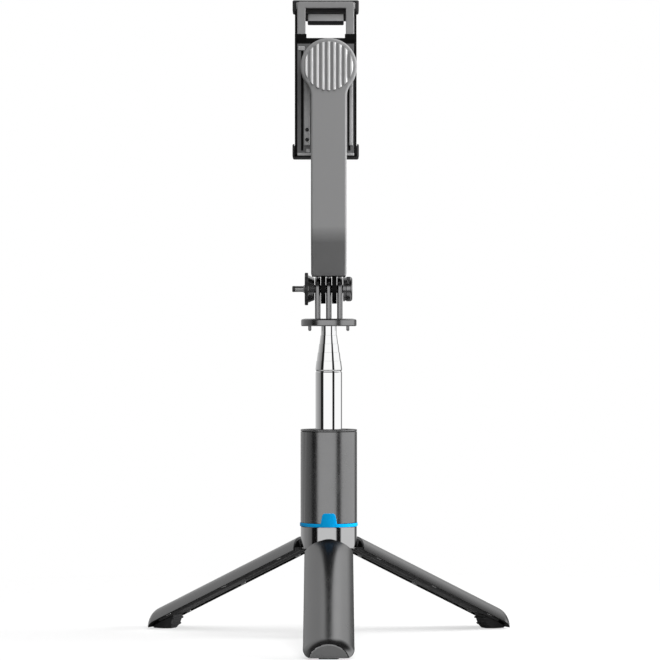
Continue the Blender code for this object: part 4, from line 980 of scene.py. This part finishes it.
def jaw_lip(grip, way):
    """The upstanding lip: rubber along its edge and at its ends, with a grey bar moulded in below, painted
    near white as painted light for the shade it stands in.
    """
    near, far = sorted((grip - way * LIP_ROOT, grip + way * LIP_RISE))
    lip = soften(block((-LIP_HALF, LIP[0], near), (LIP_HALF, LIP[1], far)), 0.7, 4)
    sections = lip.verts[:] + lip.edges[:] + lip.faces[:]
    bar_top = (0, 0, grip + way * BAR_RISE)
    bmesh.ops.bisect_plane(lip, geom=sections, plane_co=bar_top, plane_no=(0, 0, 1))
    near, far = sorted((grip - way * LIP_ROOT, grip + way * BAR_RISE))
    ends = []
    for side in (-1, 1):
        end = block((side * 11.1 - 0.8, LIP[0], near), (side * 11.1 + 0.8, LIP[1], far))
        ends.append(soften(end, 0.3, 2))
    return gather(paint(lip, 1, lambda middle: way * (middle.z - grip) < BAR_RISE), *ends)


# Near white for the lip's bar: its own grey raised as painted light, for the shade the bar stands in between
# the jaw and the housing.
lip_bar_painted_light = finish("lip_bar_painted_lit", (0.92, 0.92, 0.923), 0.4, grain=2600.0, depth=0.000018, cloud=0.05)

lower = jaw_sleeve(CASE_BACK + 1.4, CASE_LOW - 0.9, LOWER_GRIP + EAR, LOWER_GRIP, 1)
lower = carve(lower, block((-18.2, -60, CASE_LOW - 0.3), (18.2, -2.6, 40)))
lower = gather(lower, jaw_lip(LOWER_GRIP, 1))
piece("clamp_lower_sleeve", move(lower, to_clamp), [rubber, lip_bar_painted_light], "clamp", "rubber", "lower_pad")

# Upper jaw: a moulded window frame whose two legs run down into the housing, held by friction leaves.
# Its shelf carries the second rubber sleeve, so that the jaw can be pulled up to suit the phone.
FRAME_HALF = 16.5
FRAME_LEG = 4.8
FRAME_DEPTH = (-11.5, -8.1)
FRAME_TOP = 38.8
FRAME_SHELF = 35.0
FRAME_LENGTH = 71.4
CORNER = 1.6

frame_grey = finish(
    "frame_plastic", (0.22, 0.22, 0.222), 0.4, grain=2600.0, depth=0.000018, cloud=0.05, wear_and_highlight=0.12
)

foot = FRAME_TOP - FRAME_LENGTH
inside = FRAME_HALF - FRAME_LEG
outline = [(-FRAME_HALF, foot)]
outline += arc((CORNER - FRAME_HALF, FRAME_TOP - CORNER), CORNER, math.pi, math.pi / 2, 8)
outline += [*arc((FRAME_HALF - CORNER, FRAME_TOP - CORNER), CORNER, math.pi / 2, 0, 8), (FRAME_HALF, foot)]
outline += [(inside, foot), (inside, FRAME_SHELF), (-inside, FRAME_SHELF), (-inside, foot)]
window_frame = soften(slab(outline, *FRAME_DEPTH, "y"), 0.45, 3)
shelf = block((-SHELF_HALF, FRAME_DEPTH[1] - 1, FRAME_SHELF), (SHELF_HALF, SHELF_FRONT, FRAME_TOP - 0.2))
parts = [window_frame, soften(shelf, 0.3, 2)]
for way in (-1, 1):
    low, high = sorted((way * 16.2, way * CASE_HALF))
    edging = soften(block((low, FRAME_DEPTH[1] - 0.05, foot), (high, -5.7, UPPER_GRIP - 0.2)), 0.3, 2)
    parts.append(paint(edging, 1))
piece("jaw_frame", move(gather(*parts), to_clamp), [frame_grey, flat_black], "jaw", "satin_grey", "upper_jaw")

upper = jaw_sleeve(FRAME_DEPTH[1] + 0.3, UPPER_GRIP, FRAME_TOP + 1.3, UPPER_GRIP, -1)
upper = gather(upper, jaw_lip(UPPER_GRIP, -1))
piece("jaw_sleeve", move(upper, to_clamp), [rubber, lip_bar_painted_light], "jaw", "rubber", "upper_pad")

# Shutter remote: a small two-part plastic case that snaps into a cup in the handle, on the side away
# from the front leg. Its face follows the tube, and a round grey key stands in a well near its top.
REMOTE_SIZE = (14.0, 28.0)
REMOTE_BACK = 10.8
REMOTE_FACE = 17.0
KEY_RADIUS = 4.3
KEY_UP = REMOTE_UP + 6.0
KEY_FACE = REMOTE_FACE + 0.6

remote = slab(stadium(*REMOTE_SIZE, REMOTE_UP), REMOTE_BACK, 30, "y")
remote = carve(remote, pipe(0, REMOTE_FACE, 60, 130, 128), "INTERSECT")
well = along_y(pipe(0, KEY_RADIUS + 0.3, KEY_FACE - 3.0, 40, 64), (0, 0, KEY_UP))
remote = soften(carve(remote, well), 0.4, 3, 40)
lamp = turned([(0, 0.15), (0.5, 0.1), (0.7, -0.2), (0.7, -1), (0, -1)], 20)
lamp = along_y(lamp, (0, REMOTE_FACE, REMOTE_UP - 3.5))
remote = gather(remote, paint(lamp, 1))
piece("remote_shell", remote, [satin_black, blue], "remote", "satin_black", "remote_case")

key = turned(
    [
        (0, KEY_FACE - 0.35),
        (1.6, KEY_FACE - 0.3),
        (3.2, KEY_FACE - 0.08),
        (3.7, KEY_FACE),
        (KEY_RADIUS, KEY_FACE),
        (KEY_RADIUS, KEY_FACE - 2.1),
        (0, KEY_FACE - 2.1),
    ],
    64,
)
key = along_y(soften(key, 0.25, 3, 40), (0, 0, KEY_UP))
piece("remote_key", key, [cap_grey], "shutter", "satin_grey", "shutter_button")

# Hidden works: the hinge pins, tilt bolt and nut, swivel shaft with its washer and nut, the friction
# leaves and ring and the remote's cup are the solids themselves, in bare steel, rubber and plastic.
bare_steel = finish("bare_steel", (0.5, 0.5, 0.5), 0.32, 1.0, 1200.0, 0.000003, 0.12)
works = {
    bare_steel: (
        "leg_pin_front",
        "leg_pin_right",
        "leg_pin_left",
        "lock_nut",
        "tilt_bolt",
        "swivel_shaft",
        "thrust_washer",
        "swivel_nut",
        "friction_leaf_left",
        "friction_leaf_right",
    ),
    rubber: ("friction_ring",),
    satin_black: ("remote_dock",),
}
for made_of, names in works.items():
    for name in names:
        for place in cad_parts[name].material_slots:
            place.material = made_of

# Studio: a pale floor that fades into a white backdrop, a white dome with dark flags beside the camera
# and a dark beam overhead for the plating to mirror, soft lamps, and the camera straight in front.
FLOOR_RADIUS = 0.9
FLAGS = (
    (-180, 0.6),
    (-140, 0.5),
    (-105, 0.34),
    (-78, 0.22),
    (-70, 0.01),
    (-50, 0.01),
    (-44, 1.0),
    (29, 1.0),
    (33, 0.01),
    (48, 0.01),
    (53, 1.0),
    (125, 1.0),
    (140, 0.12),
    (180, 0.6),
)


def ramp(tree, source, low, high, start=0.0, end=1.0, kind="SMOOTHSTEP"):
    """Turns a value between two bounds into a level between two others."""
    sockets = {"From Min": low, "From Max": high, "To Min": start, "To Max": end}
    node = add(tree, "ShaderNodeMapRange", interpolation_type=kind, sockets=sockets)
    tree.links.new(source, node.inputs["Value"])
    return node.outputs["Result"]


def mixed(tree, kind, share, first, second, places, **values):
    """One colour, level or shader that gives way to another by a share."""
    node = add(tree, kind, **values)
    for socket, place in zip((share, first, second), places):
        tree.links.new(socket, node.inputs[place])
    return node


SHADERS = ("Fac", 1, 2)
COLOURS = ("Factor", 6, 7)
LEVELS = ("Factor", "A", "B")

floor_shape = bmesh.new()
bmesh.ops.create_circle(floor_shape, cap_ends=True, segments=96, radius=FLOOR_RADIUS)
bmesh.ops.translate(floor_shape, vec=(0, 0, -0.0002), verts=floor_shape.verts[:])
floor_mesh = bpy.data.meshes.new("studio_floor")
floor_shape.to_mesh(floor_mesh)
floor_shape.free()
floor = bpy.data.objects.new("studio_floor", floor_mesh)
scene.collection.objects.link(floor)

pale = bpy.data.materials.new("pale_floor")
pale.use_nodes = True
tree = pale.node_tree
tree.nodes.clear()
path = add(tree, "ShaderNodeLightPath")
dim = add(tree, "ShaderNodeBsdfDiffuse", sockets={"Color": (0.3, 0.3, 0.3, 1)})
lit = add(tree, "ShaderNodeBsdfDiffuse", sockets={"Color": (0.8, 0.8, 0.8, 1)})
glow = add(tree, "ShaderNodeEmission", sockets={"Color": (1, 1, 1, 1)})
pool = add(tree, "ShaderNodeMixShader", sockets={"Fac": 0.6})
tree.links.new(lit.outputs[0], pool.inputs[1])
tree.links.new(glow.outputs[0], pool.inputs[2])
seen = path.outputs["Is Camera Ray"]
sides = mixed(tree, "ShaderNodeMixShader", seen, dim.outputs[0], pool.outputs[0], SHADERS)
spot = add(tree, "ShaderNodeTexCoord")
reach = add(tree, "ShaderNodeVectorMath", operation="LENGTH")
tree.links.new(spot.outputs["Object"], reach.inputs[0])
fade = ramp(tree, reach.outputs["Value"], 0.14, 0.5)
empty = add(tree, "ShaderNodeBsdfTransparent")
blend = mixed(tree, "ShaderNodeMixShader", fade, sides.outputs[0], empty.outputs[0], SHADERS)
out = add(tree, "ShaderNodeOutputMaterial")
tree.links.new(blend.outputs[0], out.inputs["Surface"])
floor.data.materials.append(pale)

world = bpy.data.worlds.new("studio")
scene.world = world
world.use_nodes = True
tree = world.node_tree
tree.nodes.clear()
aim = add(tree, "ShaderNodeTexCoord")
parts = add(tree, "ShaderNodeSeparateXYZ")
tree.links.new(aim.outputs["Generated"], parts.inputs[0])
front = add(tree, "ShaderNodeMath", operation="MULTIPLY", sockets={1: -1.0})
tree.links.new(parts.outputs["Y"], front.inputs[0])
bearing = add(tree, "ShaderNodeMath", operation="ARCTAN2")
tree.links.new(parts.outputs["X"], bearing.inputs[0])
tree.links.new(front.outputs[0], bearing.inputs[1])
round_studio = ramp(tree, bearing.outputs[0], -math.pi, math.pi, kind="LINEAR")
flags = add(tree, "ShaderNodeValToRGB")
strip = flags.color_ramp
strip.interpolation = "EASE"
strip.elements[0].position = 0.0
strip.elements[1].position = 1.0
for element, (degrees, level) in zip(strip.elements, (FLAGS[0], FLAGS[-1])):
    element.color = (level, level, level, 1)
for degrees, level in FLAGS[1:-1]:
    strip.elements.new((degrees + 180) / 360).color = (level, level, level, 1)
tree.links.new(round_studio, flags.inputs["Fac"])
ceiling = ramp(tree, parts.outputs["Y"], -0.05, 0.3, 0.02)
screen = ramp(tree, parts.outputs["Y"], -0.05, 0.2, 0.02, 0.5, "LINEAR")
leftward = ramp(tree, parts.outputs["X"], 0.1, -0.35)
roof_level = mixed(tree, "ShaderNodeMix", leftward, ceiling, screen, LEVELS)
slope = ramp(tree, parts.outputs["Y"], 0.15, 0.9, 0.02, 1.0, "LINEAR")
rightward = ramp(tree, parts.outputs["X"], 0.3, 0.55)
sloped = mixed(tree, "ShaderNodeMix", rightward, roof_level.outputs[0], slope, LEVELS)
beside = add(tree, "ShaderNodeMath", operation="ABSOLUTE")
tree.links.new(parts.outputs["X"], beside.inputs[0])
beam = ramp(tree, beside.outputs[0], 0.03, 0.2, 0.1)
roof = add(tree, "ShaderNodeMath", operation="MULTIPLY")
tree.links.new(sloped.outputs[0], roof.inputs[0])
tree.links.new(beam, roof.inputs[1])
overhead = ramp(tree, parts.outputs["Z"], 0.25, 0.5)
around = flags.outputs["Color"]
dome = mixed(tree, "ShaderNodeMix", overhead, around, roof.outputs[0], COLOURS, data_type="RGBA")
below = ramp(tree, parts.outputs["Z"], -0.3, -0.12, 1.0, 0.0, "LINEAR")
ground = add(tree, "ShaderNodeMix", data_type="RGBA")
ground.inputs[7].default_value = (0.03, 0.03, 0.03, 1)
tree.links.new(below, ground.inputs["Factor"])
tree.links.new(dome.outputs[2], ground.inputs[6])
mirror = add(tree, "ShaderNodeBackground", sockets={"Strength": 1.0})
tree.links.new(ground.outputs[2], mirror.inputs["Color"])
softbox = ramp(tree, parts.outputs["Z"], 0.0, 0.9, 0.02, 0.9, "LINEAR")
ambient = add(tree, "ShaderNodeBackground", sockets={"Strength": 1.0})
tree.links.new(softbox, ambient.inputs["Color"])
white = add(tree, "ShaderNodeBackground", sockets={"Color": (1, 1, 1, 1), "Strength": 1.0})
path = add(tree, "ShaderNodeLightPath")
shiny = path.outputs["Is Glossy Ray"]
studio = mixed(tree, "ShaderNodeMixShader", shiny, ambient.outputs[0], mirror.outputs[0], SHADERS)
seen = path.outputs["Is Camera Ray"]
sky = mixed(tree, "ShaderNodeMixShader", seen, studio.outputs[0], white.outputs[0], SHADERS)
out = add(tree, "ShaderNodeOutputWorld")
tree.links.new(sky.outputs[0], out.inputs["Surface"])

for name, spot, size, power in (
    ("key_lamp", (0.2, -1.5, 1.9), 1.1, 21.5),
    ("front_lamp", (0.0, -1.7, 0.3), 0.5, 3.5),
    ("fill_lamp", (0.9, -1.3, 1.8), 1.2, 12.0),
    ("side_lamp", (1.3, 0.0, 0.35), 0.7, 36.0),
):
    lamp = bpy.data.lights.new(name, "AREA")
    lamp.size = size
    lamp.energy = power
    holder = bpy.data.objects.new(name, lamp)
    holder.location = spot
    holder.rotation_euler = (Vector((0, 0, 0.18)) - Vector(spot)).to_track_quat("-Z", "Y").to_euler()
    holder.visible_glossy = False
    scene.collection.objects.link(holder)

view = bpy.data.cameras.new("front_view")
view.sensor_width = 36.0
view.lens = 163.65
view.clip_end = 20.0
camera = bpy.data.objects.new("front_view", view)
camera.location = (0.0007, -1.752, 0.1793)
camera.rotation_euler = (math.pi / 2, 0, 0)
scene.collection.objects.link(camera)
scene.camera = camera
scene.view_settings.view_transform = "Standard"
